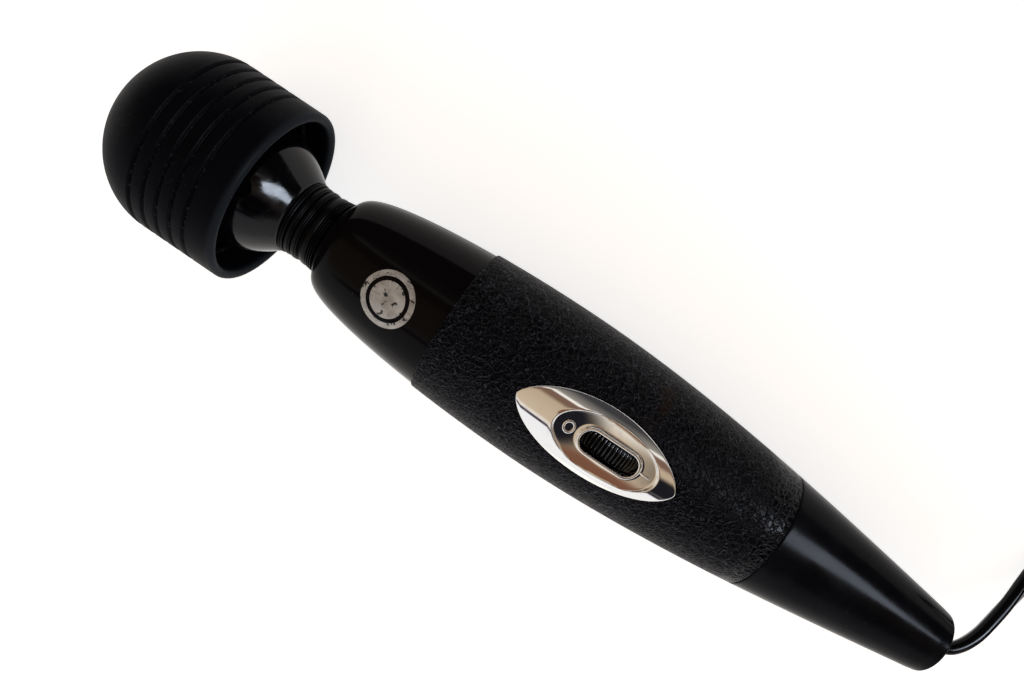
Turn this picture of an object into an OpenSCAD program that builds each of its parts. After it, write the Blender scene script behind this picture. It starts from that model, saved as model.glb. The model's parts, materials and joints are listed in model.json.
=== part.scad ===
/* [Head] */
// Outer radius of the rubber head
head_r = 28.5; // [26:0.5:30]
// Length of the rounded tip
dome_h = 24.5; // [22:0.5:26]
// Place of the skirt's rear rim, measured from the tip
rim_s = 51.7; // [50:0.1:53]
// Thickness of the rubber
cap_wall = 2.9; // [2.5:0.1:3.2]
// Number of grooves round the head
groove_count = 5; // [3:1:5]
// Distance from one groove to the next
groove_pitch = 4.55; // [4:0.05:4.6]

/* [Neck] */
// Place of the end of the rear cone
neck_front_s = 60.5; // [60:0.1:61]
// Place of the front face of the handle
nose_s = 74.2; // [74:0.1:75]
// Outer radius of the bellows
bellows_r = 11.4; // [11:0.1:11.6]

/* [Handle] */
// Overall length without the cord
length = 279; // [276:1:282]
// Radius of the front face of the handle
nose_r = 12.6; // [12.4:0.1:13]
// Radius of the handle over the sleeve at its widest
belly_r = 24; // [23.5:0.1:24.5]
// Radius of the tail end
tail_r = 9.6; // [9.4:0.1:10]
// Place of the widest section
belly_s = 150; // [146:1:154]
// Thickness of the plastic shells
shell_wall = 2.2; // [2:0.1:2.4]
// Height of the sleeve's front edge over the shell
sleeve_step = 0.5; // [0.3:0.1:0.6]
// Thickness of the sleeve
sleeve_wall = 1.2; // [1:0.1:1.3]
// Place of the sleeve's front edge
sleeve_front_s = 115.6; // [114:0.2:117]
// Place of the sleeve's rear edge
sleeve_rear_s = 222; // [219:0.5:224]

/* [Switch] */
// Length of the chromed bezel
bezel_l = 49.4; // [48:0.1:50]
// Width of the chromed bezel
bezel_w = 21.4; // [20:0.1:22]
// Place of the bezel's middle
bezel_s = 166.7; // [166:0.1:168]
// Radius of the thumbwheel
wheel_r = 12.5; // [12:0.1:12.6]
// Place of the thumbwheel's axle
wheel_s = 170.9; // [170:0.1:171.5]

/* [Cord] */
// Width of the flat two-core cord
cord_w = 5.8; // [5.6:0.1:6]
// Thickness of the flat two-core cord
cord_t = 3.6; // [3.4:0.1:3.6]

/* [Hidden] */
$fn = 48;

// Clearance between pieces that are fixed to each other
gap = 0.1;
// Radial clearance of a shaft that turns in a bore
running = 0.05;

// Head. Places named s are measured along the axis of the wand from the tip of the head.
groove_s = 24;
groove_w = 1.5;
groove_depth = 0.9;
lip_r = cap_wall / 2;
bead_s = 40.4;
bead_w = 1.2;
bead_h = 1.1;
cap_in_r = head_r - cap_wall;
core_in_r = cap_in_r - 2.6;
core_rear_s = 38;
core_front_wall = 3;
flange_s = core_rear_s + gap;
flange_t = 1.9;
cone_r = 19.4;
cone_curve_s = 45;
cone_end_r = 12;
cone_wall = 2.2;
plate_t = 3;
spigot_r = 14.5;
spigot_wall = 2.2;
spigot_rear_s = 51;
neck_bore_r = 8.2;

// Head drive
drive_shaft_r = 2.5;
bearing_r = 8;
bearing_w = 5;
front_bearing_s = 9;
rear_bearing_s = 39.5;
shaft_front_s = 8;
shaft_rear_s = 56;
weight_r = 13;
weight_s = 19;
weight_l = 15;
weight_hub_r = 4.6;

// Three radial screws hold the cone on the spigot of the bearing plate.
head_screw_count = 3;
head_screw_s = 48.5;
head_screw_angle = 8;
head_screw_r = 1.3;
head_screw_head_r = 2.3;
head_screw_head_h = 1;
head_screw_seat_r = 15.8;
head_screw_recess_r = 2.6;
head_screw_pad_r = 4;
head_screw_grip = 3;
head_screw_slot = [3.2, 0.6];

// Neck
pivot_s = (neck_front_s + nose_s) / 2;
collar_w = 1.6;
lip_w = 1.3;
neck_lip_r = 12.8;
rib_count = 3;
rib_depth = 1.5;
bellows_wall = 1.1;
bellows_in_r = bellows_r - rib_depth - bellows_wall;
neck_ring_w = 2;
neck_wire_r = 0.7;
neck_spring_r = 6.4;
neck_spring_turns = 4;
drive_spring_r = 2.4;
drive_spring_gap = 0.4;

// Handle
nose_power = 0.4;
tail_power = 0.93;
end_round = 1.6;
boss_r = 3;
boss_wall = 1;
screw_r = 1.35;
screw_head_r = 2.7;
screw_head_h = 2;
screw_slot = [4, 0.8];
screw_up = 6;
screw_shelf_z = -8;
screw_places = [[89, 10], [89, -10], [236, 7.6], [236, -7.6]];
shoulder_inset = 0.5;
tail_inset = 0.9;
tail_bore_r = 4.6;

// Motor
motor_r = 15.5;
motor_front_s = 95;
motor_rear_s = 138;
motor_wall = 1.4;
motor_shaft_r = 2;
motor_shaft_front_s = 83;
motor_shaft_rear_s = 141;
armature_r = 10.6;
armature_s = 104;
armature_l = 22;
armature_slots = 5;
commutator_r = 4;
commutator_s = 129;
commutator_l = 6;
magnet_r = 11.4;
end_cap_l = 4;
mount_places = [98, 130];
mount_w = 4;
coupling_r = 4.5;
coupling_s = 80;
coupling_l = 9;

// Switch
bezel_edge = 0.2;
crown_r = 14.3;
crown_bulge = 1.9;
dish_l = 31.2;
dish_w = 16.6;
dish_s = 169.7;
dish_r = 35;
dish_z = 23.25;
dish_tilt = 0.9;
slot_l = 17;
slot_w = 6.4;
slot_rim = 0.9;
slot_rim_z = 23.75;
slot_rim_tilt = 2.6;
wheel_w = 5.6;
wheel_top_z = 23.4;
wheel_z = wheel_top_z - wheel_r;
wheel_ribs = 64;
wheel_rib_depth = 0.4;
axle_r = 1.5;
axle_front_y = -8.4;
axle_rear_y = 7.5;
bracket_y = -8;
bracket_t = 2;
bracket_w = 8;
pot_r = 5.4;
pot_y = 4.2;
pot_t = 4.8;
board_top_z = -2.6;
board_t = 1.6;
board_l = 60;
board_w = 26;
board_s = 146;
capacitor_s = 152;
capacitor_size = [10, 6, 10];
transistor_s = 190;
transistor_size = [4.5, 10, 13];
sink_plate = [1.5, 16, 12];
fin_count = 5;
fin_size = [5, 1.6, 12];

// Mark on the shoulder: a plain disc in a ring
badge_s = 99.5;
badge_disc_r = 5.2;
badge_ring_in_r = 6.4;
badge_ring_r = 8;
badge_t = 0.25;

// Tail
wire_d = 1.8;
wire_s = 248;
clamp_s = 255;
clamp_l = 6;
clamp_w = 14;
clamp_t = 2.4;
clamp_screw_r = 1.2;
clamp_screw_y = 5;
clamp_screw_depth = 6;
clamp_screw_head_r = 2.1;
clamp_screw_head_h = 1.4;
gland_front_s = 258;
gland_out = 2;
gland_flange_r = 6.4;
gland_flange_w = 3;
gland_end_w = 1;

// The wand lies on its head rim and on its belly, so its axis is tipped by this angle.
touch_s = 50.3;
rest_s = 166;
pitch = atan((head_r - skin_r(rest_s)) / (rest_s - touch_s));
axis_z = touch_s * sin(pitch) + head_r * cos(pitch);
tip_x = dome_h * cos(pitch) - norm([dome_h * cos(pitch), head_r * sin(pitch)]);
tail_x = (length - end_round) * cos(pitch) + (tail_r - end_round) * sin(pitch) + end_round;
shift_x = -(tip_x + tail_x) / 2;

// Cord, laid on the surface that the wand lies on. Points are in the part's own frame.
cord_route = [[141.4, 0, 18.8], [142.4, 0.05, 18.75], [145, 1.6, 18.4], [147.4, 4.6, 17.4],
    [149.4, 8.6, 15.7], [150.8, 13, 13.6], [152, 17.5, 11.4], [153.1, 22, 9.2], [154.1, 26.5, 7],
    [155.2, 31.5, 4.9], [157, 37, 3.2], [160.5, 42.8, 2.2], [166, 48.2, 1.8], [173.5, 52.6, 1.8],
    [183, 55.8, 1.9], [194, 57.7, 2.2], [206, 58.4, 2.4], [219, 58.5, 2.4]];
lead_route = [[194.5, 41.1, 11.6], [205.5, 49.5, 13.2], [219, 52.5, 13.6], [224.2, 51.8, 14.2],
    [230.5, 48.9, 15.3], [235.4, 44, 16.7], [238.3, 37.7, 18], [239, 34.2, 18.5], [239, 32.6, 18.65]];
coil_x = 219;
coil_y = 20.5;
coil_mid_r = 32;
coil_columns = 3;
coil_layers = 3;
coil_pitch = 6;
coil_layer_h = 3.7;
coil_base = 0.6;
coil_half_w = coil_pitch * coil_columns / 2;
coil_h = coil_layer_h * coil_layers;
tie_places = [200, 20];
tie_w = 5;
tie_t = 0.4;
tie_gap = 0.2;
cord_steps = 3;
lead_steps = 2;

// Two-pin plug, lying on the coil with its pins towards -Y
plug_x = 239;
plug_y = 23.5;
plug_w = 35;
plug_t = 13.7;
plug_l = 34;
plug_neck_w = 15;
plug_neck_t = 9;
plug_relief_l = 9;
plug_z = coil_base + coil_h + 0.1 + plug_t / 2;
pin_r = 2;
pin_l = 19;
pin_spacing = 18.6;

// Radius of the outside of the sleeve at place s, carried on smoothly past both its ends
function skin_r(s) = s < belly_s
    ? nose_r + sleeve_step
        + (belly_r - nose_r - sleeve_step) * pow(sin(90 * (s - nose_s) / (belly_s - nose_s)), nose_power)
    : belly_r - (belly_r - tail_r) * pow(1 - cos(90 * (s - belly_s) / (length - belly_s)), tail_power);

// How far the shell lies under that surface at place s
function sink(s) = s < sleeve_front_s ? sleeve_step : s < sleeve_rear_s ? sleeve_wall : 0;

function shell_r(s) = skin_r(s) - sink(s);

// Places along the handle at which its outline has a point
function stations(from, to, step) = [for (s = [from : step : to - step / 2]) s];

// Profiles are lists of [radius, s].
nose_places = [0, 0.3, 0.9, 2, 3.6, 6, 9.5, 14, 20, 28, 36];
shell_profile = concat(
    [for (d = nose_places) [shell_r(nose_s + d), nose_s + d]],
    [[skin_r(sleeve_front_s) - sleeve_step, sleeve_front_s - 0.01]],
    [for (s = stations(sleeve_front_s, sleeve_rear_s, 8)) [shell_r(s), s]],
    [[skin_r(sleeve_rear_s) - sleeve_wall, sleeve_rear_s - 0.01]],
    [for (s = stations(sleeve_rear_s, length - end_round, 9)) [shell_r(s), s]],
    [for (a = [0 : 30 : 90]) [tail_r - end_round * (1 - cos(a)), length - end_round * (1 - sin(a))]]
);

// Inside of the shells. It lies a little further out where there is no sleeve over them.
function inner_r(s) = skin_r(s) - sleeve_wall - shell_wall + (s < sleeve_front_s ? shoulder_inset : 0)
    + (s > sleeve_rear_s ? tail_inset : 0);

inner_profile = concat(
    [for (s = stations(nose_s + 3, length - 4, 9)) [inner_r(s), s]],
    [[inner_r(length - 4), length - 4]]
);

function dome(r, h, from, steps) =
    [for (i = [0 : steps]) let (a = 90 * i / steps) [r * sin(a), from + h * (1 - cos(a))]];

function cone_outline(offset_r, from, to, steps) = [for (i = [0 : steps])
    let (s = from + (to - from) * i / steps)
    [cone_end_r + (cone_r - cone_end_r) * cos(90 * (s - cone_curve_s) / (neck_front_s - cone_curve_s))
        + offset_r, s]];

// Solid outline of both shells together
module shell_outline() turned(concat([[0, nose_s]], shell_profile, [[0, length]]));

// Puts a piece drawn along the axis of the wand where the wand lies.
module wand() translate([shift_x, 0, axis_z]) rotate([0, pitch, 0]) children();

// A solid of revolution about the axis of the wand
module turned(profile) rotate([0, 90, 0]) rotate_extrude() polygon(profile);

// A round bar along the axis of the wand
module bar(s, l, r) translate([s, 0, 0]) rotate([0, 90, 0]) cylinder(h = l, r = r);

module ring(s, l, r, bore_r) difference() {
    bar(s, l, r);
    bar(s - 1, l + 2, bore_r);
}

// A pointed oval, drawn in the plane that faces the thumb
module pointed_oval(l, w) polygon([for (a = [0 : 7.5 : 352.5])
    [l / 2 * cos(a), w / 2 * sign(sin(a)) * pow(abs(sin(a)), 1.3)]]);

module oval(l, w) scale([1, w / l]) circle(d = l);

// Cross-shaped slot of a screw head, 1 mm deep, cut upwards from its own origin
module cross_slot(size) for (a = [0, 90]) rotate(a) translate([-size[0] / 2, -size[1] / 2, 0])
    cube([size[0], size[1], 1]);

module stadium(l, w) {
    square([l - w, w], center = true);
    for (side = [-1, 1]) translate([side * (l - w) / 2, 0]) circle(d = w);
}

/* Head */

module head_cap() color("#26262a") wand() {
    grooves = [for (i = [0 : groove_count - 1]) for (p = [[0, -1], [groove_depth, -0.5],
        [groove_depth, 0.5], [0, 1]]) [head_r - p[0], groove_s + i * groove_pitch + p[1] * groove_w / 2]];
    turned(concat(
        [for (p = dome(head_r, dome_h, 0, 14)) if (p[1] < groove_s - groove_w / 2) p],
        grooves,
        [for (a = [0 : 30 : 180]) [head_r - lip_r * (1 - cos(a)), rim_s - lip_r * (1 - sin(a))]],
        [for (p = [[0, 1], [bead_h, 0.3], [bead_h, -0.3], [0, -1]])
            [cap_in_r - p[0], bead_s + bead_w / 2 + p[1] * bead_w / 2]],
        [for (i = [10 : -1 : 0]) let (a = 9 * i) [cap_in_r * sin(a), dome_h - (dome_h - cap_wall) * cos(a)]]
    ));
}

module head_core() color("#1c1c1f") wand() {
    outer = dome(cap_in_r - gap, dome_h - cap_wall - gap, cap_wall + gap, 10);
    inner = dome(core_in_r, dome_h - cap_wall - core_front_wall, cap_wall + core_front_wall, 8);
    difference() {
        union() {
            turned(concat(outer, [[cap_in_r - gap, core_rear_s], [core_in_r, core_rear_s]],
                [for (i = [8 : -1 : 0]) inner[i]]));
            intersection() {
                bar(0, front_bearing_s + bearing_w, bearing_r + 2.2);
                turned(concat(outer, [[0, dome_h]]));
            }
        }
        bar(front_bearing_s, bearing_w + 1, bearing_r + gap / 2);
    }
}

// Disc that closes the core, with the seat of the rear bearing and a spigot that the cone is screwed to
module bearing_plate() color("#2a2a2e") wand() difference() {
    union() {
        ring(core_rear_s - plate_t, plate_t, core_in_r - gap, spigot_r - spigot_wall);
        ring(core_rear_s - plate_t, spigot_rear_s - core_rear_s + plate_t, spigot_r, spigot_r - spigot_wall);
        ring(rear_bearing_s, bearing_w, spigot_r - 0.5, bearing_r + gap / 2);
    }
    head_screw_holes(head_screw_r + gap / 2);
}

module at_head_screw(i) translate([head_screw_s, 0, 0])
    rotate([-head_screw_angle - i * 360 / head_screw_count, 0, 0]) children();

module at_head_screws() for (i = [0 : head_screw_count - 1]) at_head_screw(i) children();

module head_screw_holes(r) at_head_screws() translate([0, 0, spigot_r - 4]) cylinder(h = 12, r = r);

module head_cone() color("#141416") wand() difference() {
    inner = cone_outline(-cone_wall, cone_curve_s, neck_front_s - 3, 8);
    union() {
        turned(concat(
            [[cap_in_r - gap, flange_s], [cap_in_r - gap, flange_s + flange_t]],
            [[cone_r, flange_s + flange_t]],
            cone_outline(0, cone_curve_s, neck_front_s, 10),
            [[neck_bore_r, neck_front_s], [neck_bore_r, neck_front_s - 1.5]],
            [for (i = [8 : -1 : 0]) inner[i]],
            [[cone_r - cone_wall, flange_s]]
        ));
        at_head_screws() translate([0, 0, spigot_r + gap]) cylinder(h = 3, r = head_screw_pad_r);
    }
    head_screw_holes(head_screw_r + gap);
    at_head_screws() translate([0, 0, head_screw_seat_r]) cylinder(h = 6, r = head_screw_recess_r);
}

module head_screws() color("#8d8f92") wand() at_head_screws() {
    difference() {
        translate([0, 0, head_screw_seat_r]) cylinder(h = head_screw_head_h, r = head_screw_head_r);
        translate([0, 0, head_screw_seat_r + head_screw_head_h / 2]) cross_slot(head_screw_slot);
    }
    translate([0, 0, spigot_r - head_screw_grip])
        cylinder(h = head_screw_seat_r - spigot_r + head_screw_grip, r = head_screw_r);
}

module front_bearing() color("#b8bbbf") wand()
    ring(front_bearing_s, bearing_w - 0.2, bearing_r, drive_shaft_r + running);

module rear_bearing() color("#b8bbbf") wand()
    ring(rear_bearing_s, bearing_w, bearing_r, drive_shaft_r + running);

module eccentric_shaft() color("#c4c6c9") wand()
    bar(shaft_front_s + 1.5, shaft_rear_s - shaft_front_s - 1.5, drive_shaft_r);

// Half a disc of steel, stored hanging below the shaft
module eccentric_weight() color("#77797d") wand() difference() {
    union() {
        intersection() {
            bar(weight_s, weight_l, weight_r);
            translate([weight_s - 1, -weight_r, -weight_r]) cube([weight_l + 2, 2 * weight_r, weight_r]);
        }
        bar(weight_s, weight_l, weight_hub_r);
    }
    bar(weight_s - 1, weight_l + 2, drive_shaft_r + gap / 2);
}

module drive_spring_front() color("#9b9da1") wand() {
    spring_l = pivot_s - drive_spring_gap - shaft_rear_s - gap;
    ring(shaft_rear_s + gap, spring_l, drive_spring_r, drive_spring_r - 1);
}

/* Neck */

// One half of the rubber bellows: round ribs between places from and to
module bellows(from, to) {
    rib_l = (to - from) / rib_count;
    outer = [for (i = [0 : rib_count - 1]) for (p = [[1, 0.04], [0.25, 0.18], [0, 0.36], [0, 0.64],
        [0.25, 0.82], [1, 0.96]]) [bellows_r - rib_depth * p[0], from + (i + p[1]) * rib_l]];
    turned(concat(outer, [[bellows_r - rib_depth, to], [bellows_in_r, to], [bellows_in_r, from],
        [bellows_r - rib_depth, from]]));
}

module neck_collar_front() color("#17171a") wand()
    ring(neck_front_s + gap / 2, collar_w, bellows_r + 0.2, bellows_in_r);

module bellows_front() color("#1b1b1e") wand() bellows(neck_front_s + collar_w + gap, pivot_s - gap / 2);

module neck_ring() color("#d8d8d2") wand()
    ring(pivot_s - neck_ring_w / 2, neck_ring_w, bellows_in_r - 0.3, neck_spring_r + neck_wire_r + 0.2);

// A coil spring round the drive spring: closed rings joined by short bars stand for its turns
module neck_spring() color("#a7a9ac") wand() {
    from = neck_front_s + 1;
    pitch_s = (nose_s - neck_front_s - 2) / neck_spring_turns;
    for (i = [0 : neck_spring_turns]) translate([from + i * pitch_s, 0, 0]) rotate([0, 90, 0])
        rotate_extrude() translate([neck_spring_r, 0]) circle(r = neck_wire_r, $fn = 16);
    translate([from, 0, neck_spring_r]) rotate([0, 90, 0])
        cylinder(h = pitch_s * neck_spring_turns, r = neck_wire_r * 0.9, $fn = 16);
}

module bellows_rear() color("#1b1b1e") wand() bellows(pivot_s + gap / 2, nose_s - lip_w - gap);

module neck_lip() color("#17171a") wand() turned([
    [bellows_in_r, nose_s - lip_w - gap / 2], [bellows_r - 0.4, nose_s - lip_w - gap / 2],
    [neck_lip_r, nose_s - 0.7], [neck_lip_r, nose_s - gap / 2], [bellows_in_r, nose_s - gap / 2]]);

module drive_spring_rear() color("#9b9da1") wand() {
    spring_l = coupling_s - gap - pivot_s - drive_spring_gap;
    ring(pivot_s + drive_spring_gap, spring_l, drive_spring_r, drive_spring_r - 1);
}

/* Motor */

module shaft_coupling() color("#b08d4a") wand() difference() {
    bar(coupling_s, coupling_l, coupling_r);
    bar(motor_shaft_front_s - gap, coupling_l, motor_shaft_r + gap / 2);
}

module motor_shaft() color("#c4c6c9") wand()
    bar(motor_shaft_front_s, motor_shaft_rear_s - motor_shaft_front_s, motor_shaft_r);

module armature() color("#8a5a34") wand() difference() {
    bar(armature_s, armature_l, armature_r);
    bar(armature_s - 1, armature_l + 2, motor_shaft_r + gap / 2);
    for (i = [0 : armature_slots - 1]) rotate([i * 360 / armature_slots, 0, 0])
        translate([armature_s - 1, -1, armature_r / 2]) cube([armature_l + 2, 2, armature_r]);
}

module commutator() color("#b87333") wand()
    ring(commutator_s, commutator_l, commutator_r, motor_shaft_r + gap / 2);

module motor_can() color("#9fa2a6") wand() difference() {
    bar(motor_front_s, motor_rear_s - motor_front_s, motor_r);
    bar(motor_front_s + motor_wall, motor_rear_s, motor_r - motor_wall);
    bar(motor_front_s - 1, 4, motor_shaft_r + running);
}

module motor_magnets() color("#3a3a3d") wand() difference() {
    bar(armature_s - 2, armature_l + 4, motor_r - motor_wall - gap);
    bar(armature_s - 3, armature_l + 6, magnet_r);
    translate([armature_s - 3, -motor_r, -3]) cube([armature_l + 6, 2 * motor_r, 6]);
}

module motor_end_cap() color("#e4e1d6") wand() difference() {
    union() {
        bar(motor_rear_s + gap, end_cap_l, motor_r);
        bar(motor_rear_s - 2, 3, motor_r - motor_wall - gap);
    }
    bar(motor_rear_s - 3, end_cap_l + 6, motor_shaft_r + running);
}

// Rubber rings that carry the motor in the shells
module motor_mounts() color("#2b2b2b") wand() for (s = mount_places) turned([
    [motor_r + gap, s], [inner_r(s) - gap, s], [inner_r(s + mount_w) - gap, s + mount_w],
    [motor_r + gap, s + mount_w]]);

/* Handle */

// Both shells together, with their cavity and bosses
module shells() difference() {
    union() {
        difference() {
            shell_outline();
            turned(concat([[0, nose_s + 3]], inner_profile, [[0, length - 4]]));
        }
        intersection() {
            shell_outline();
            for (p = screw_places) translate([p[0], p[1], -belly_r])
                cylinder(h = 2 * belly_r, r = boss_r + boss_wall);
        }
    }
    bar(nose_s - 1, 6, bellows_in_r + 1);
    bar(length - 6, 8, tail_bore_r);
    for (p = screw_places) translate([p[0], p[1], 0]) {
        translate([0, 0, screw_shelf_z - belly_r]) cylinder(h = belly_r, r = boss_r);
        translate([0, 0, screw_shelf_z - 1])
            cylinder(h = screw_up - screw_shelf_z + 1.5, r = screw_r + gap / 2);
    }
}

module half_space(side) translate([0, -50, side > 0 ? 0 : -100]) cube([length + 10, 100, 100]);

module top_shell() color("#101012") wand() difference() {
    intersection() {
        shells();
        half_space(1);
    }
    translate([wheel_s, 0, 0]) linear_extrude(50) square([slot_l + 4, wheel_w + 3], center = true);
}

module bottom_shell() color("#101012") wand() difference() {
    intersection() {
        union() {
            shells();
            intersection() {
                shell_outline();
                translate([clamp_s - clamp_l, -clamp_w / 2, -belly_r])
                    cube([clamp_l, clamp_w, belly_r - cord_t / 2 - gap]);
            }
        }
        half_space(-1);
    }
    at_clamp_screws() translate([0, 0, -clamp_screw_depth - 0.5])
        cylinder(h = clamp_screw_depth, r = clamp_screw_r + gap / 2);
}

module shell_screws() color("#8d8f92") wand() for (p = screw_places) translate([p[0], p[1], 0]) {
    difference() {
        translate([0, 0, screw_shelf_z - screw_head_h]) cylinder(h = screw_head_h, r = screw_head_r);
        translate([0, 0, screw_shelf_z - screw_head_h - 0.01]) cross_slot(screw_slot);
    }
    translate([0, 0, screw_shelf_z]) cylinder(h = screw_up - screw_shelf_z, r = screw_r);
}

module sleeve() color("#2c2a2e") wand() difference() {
    places = concat(stations(sleeve_front_s, sleeve_rear_s, 8), [sleeve_rear_s - gap / 2]);
    turned(concat(
        [for (s = places) [skin_r(s), s]],
        [for (i = [len(places) - 1 : -1 : 0]) [skin_r(places[i]) - sleeve_wall + gap / 2, places[i]]]
    ));
    translate([bezel_s, 0, 0]) linear_extrude(50) pointed_oval(bezel_l + 0.3, bezel_w + 0.3);
}

module badge() color("#c8c4bd") wand() intersection() {
    difference() {
        turned([for (s = [badge_s - 10, badge_s - 5, badge_s, badge_s + 5, badge_s + 10])
            [shell_r(s) + badge_t, s], [0, badge_s + 10], [0, badge_s - 10]]);
        shell_outline();
    }
    translate([badge_s, 0, 0]) linear_extrude(50) {
        circle(r = badge_disc_r);
        difference() {
            circle(r = badge_ring_r);
            circle(r = badge_ring_in_r);
        }
    }
}

/* Switch */

module bezel() color("#d9d6cf") wand() difference() {
    intersection() {
        translate([bezel_s, 0, 0]) linear_extrude(50) pointed_oval(bezel_l, bezel_w);
        union() {
            difference() {
                bezel_crown();
                translate([dish_s, 0, 0]) linear_extrude(50) oval(dish_l, dish_w);
            }
            intersection() {
                translate([dish_s, 0, dish_z - dish_r]) rotate([0, 90 + dish_tilt, 0])
                    cylinder(h = 2 * dish_l, r = dish_r, center = true);
                translate([dish_s, 0, 0]) linear_extrude(50) oval(dish_l, dish_w);
            }
            translate([wheel_s, 0, slot_rim_z]) rotate([0, slot_rim_tilt, 0]) translate([0, 0, -4])
                linear_extrude(4) stadium(slot_l + 2 * slot_rim, slot_w + 2 * slot_rim);
        }
    }
    shell_outline();
    translate([wheel_s, 0, 0]) linear_extrude(50) stadium(slot_l, slot_w);
}

// Barrel whose top is the crown of the bezel; it meets the sleeve at both tips
module bezel_crown() {
    half_l = bezel_l / 2;
    fall = skin_r(bezel_s - half_l) - skin_r(bezel_s + half_l);
    translate([bezel_s, 0, skin_r(bezel_s - half_l) - fall / 2 + bezel_edge - crown_r])
        rotate([0, atan(fall / bezel_l), 0]) turned(concat([[0, -half_l - 2]],
            [for (u = [-1.08 : 0.18 : 1.08]) [crown_r + crown_bulge * (1 - u * u), u * half_l]],
            [[0, half_l + 2]]));
}

module thumbwheel() color("#161618") wand() translate([wheel_s, 0, wheel_z]) rotate([90, 0, 0])
    difference() {
        linear_extrude(wheel_w, center = true) polygon([for (i = [0 : 2 * wheel_ribs - 1])
            let (a = 180 * i / wheel_ribs, r = wheel_r - (i % 2) * wheel_rib_depth)
            [r * cos(a), r * sin(a)]]);
        cylinder(h = wheel_w + 2, r = axle_r + gap / 2, center = true);
    }

module wheel_axle() color("#c4c6c9") wand() translate([wheel_s, axle_front_y, wheel_z]) rotate([-90, 0, 0])
    cylinder(h = axle_rear_y - axle_front_y, r = axle_r);

module wheel_bracket() color("#e4e1d6") wand() difference() {
    union() {
        translate([wheel_s - bracket_w / 2, bracket_y, board_top_z + gap])
            cube([bracket_w, bracket_t, wheel_z - board_top_z - gap]);
        translate([wheel_s, bracket_y, wheel_z]) rotate([-90, 0, 0])
            cylinder(h = bracket_t, r = bracket_w / 2);
    }
    translate([wheel_s, bracket_y - 1, wheel_z]) rotate([-90, 0, 0])
        cylinder(h = bracket_t + 2, r = axle_r + running);
}

module potentiometer() color("#3f6f8f") wand() difference() {
    union() {
        translate([wheel_s, pot_y, wheel_z]) rotate([-90, 0, 0]) cylinder(h = pot_t, r = pot_r);
        translate([wheel_s - pot_r, pot_y, board_top_z + gap])
            cube([2 * pot_r, pot_t, wheel_z - board_top_z - gap]);
    }
    translate([wheel_s, pot_y - 1, wheel_z]) rotate([-90, 0, 0]) cylinder(h = pot_t, r = axle_r + running);
}

module circuit_board() color("#2f6b3c") wand()
    translate([board_s, -board_w / 2, board_top_z - board_t]) cube([board_l, board_w, board_t]);

// Places a part on the board, with its corner at place s and at y
module on_board(s, y) wand() translate([s, y, board_top_z + gap]) children();

module capacitor() color("#c46a1f") on_board(capacitor_s, -9.4) cube(capacitor_size);

module transistor() color("#222224") on_board(transistor_s, -transistor_size[1] / 2) cube(transistor_size);

module heat_sink() color("#b7bac0")
    on_board(transistor_s + transistor_size[0] + gap, -sink_plate[1] / 2) {
        cube(sink_plate);
        for (i = [0 : fin_count - 1])
            translate([sink_plate[0], i * (sink_plate[1] - fin_size[1]) / (fin_count - 1), 0])
                cube(fin_size);
    }

/* Wires and cord */

function unit(v) = v / norm(v);

// Catmull-Rom curve through a list of points, with the given number of steps between two of them
function curve(p, steps) = [for (i = [0 : len(p) - 2]) for (k = [0 : steps - 1])
    blend(p[max(i - 1, 0)], p[i], p[i + 1], p[min(i + 2, len(p) - 1)], k / steps), p[len(p) - 1]];

function blend(a, b, c, d, t) = 0.5 * (2 * b + (c - a) * t + (2 * a - 5 * b + 4 * c - d) * t * t
    + (3 * b - a - 3 * c + d) * t * t * t);

// Eight-sided outline of a flat cord
function flat_section(w, t) = [for (p = [[0.5, 0.2], [0.3, 0.5], [-0.3, 0.5], [-0.5, 0.2], [-0.5, -0.2],
    [-0.3, -0.5], [0.3, -0.5], [0.5, -0.2]]) [p[0] * w, p[1] * t]];

// Sweeps a section along a line. Its width is turned by turn degrees at the start, and lies level after the
// share of the line that turn_share gives.
module swept(line, section, turn, turn_share) {
    last = len(line) - 1;
    sides = len(section);
    points = [for (i = [0 : last])
        let (t = unit(line[min(i + 1, last)] - line[max(i - 1, 0)]),
            level = unit(cross(t, [0, 0, 1])),
            up = cross(level, t),
            a = turn * max(0, 1 - i / last / turn_share),
            across = cos(a) * level + sin(a) * up,
            over = cos(a) * up - sin(a) * level)
        for (p = section) line[i] + p[0] * across + p[1] * over];
    polyhedron(points, concat(
        [[for (k = [0 : sides - 1]) k]],
        [for (i = [0 : last - 1]) for (k = [0 : sides - 1]) let (n = (k + 1) % sides)
            [i * sides + k, (i + 1) * sides + k, (i + 1) * sides + n, i * sides + n]],
        [[for (k = [sides - 1 : -1 : 0]) last * sides + k]]
    ));
}

// Two wires from the cord to the circuit board and two on to the motor
module wires() color("#7a2f2a") wand() {
    core = flat_section(wire_d, wire_d);
    low = board_top_z + gap + wire_d / 2;
    for (side = [-1, 1]) {
        swept(curve([[wire_s, side * 1.2, 0], [238, side * 1.7, 1.2], [224, side * 2.2, 1.2],
            [212, side * 4, 0], [203, side * 4.4, low]], 3), core, 0, 1);
        swept(curve([[150.5, side * 5, low], [148, side * 5, 0], [145.5, side * 5.4, 3],
            [motor_rear_s + end_cap_l + 1, side * 6, 5]], 3), core, 0, 1);
    }
}

module cord_inner() color("#0e0e10") wand() translate([wire_s + gap, -cord_w / 2, -cord_t / 2])
    cube([gland_front_s - wire_s - 2 * gap, cord_w, cord_t]);

// Bar that holds the jacket of the cord down on a block of the bottom shell
module cord_clamp() color("#e4e1d6") wand() difference() {
    translate([clamp_s - clamp_l, -clamp_w / 2, cord_t / 2 + gap]) cube([clamp_l, clamp_w, clamp_t]);
    at_clamp_screws() cylinder(h = 10, r = clamp_screw_r + gap / 2);
}

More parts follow.
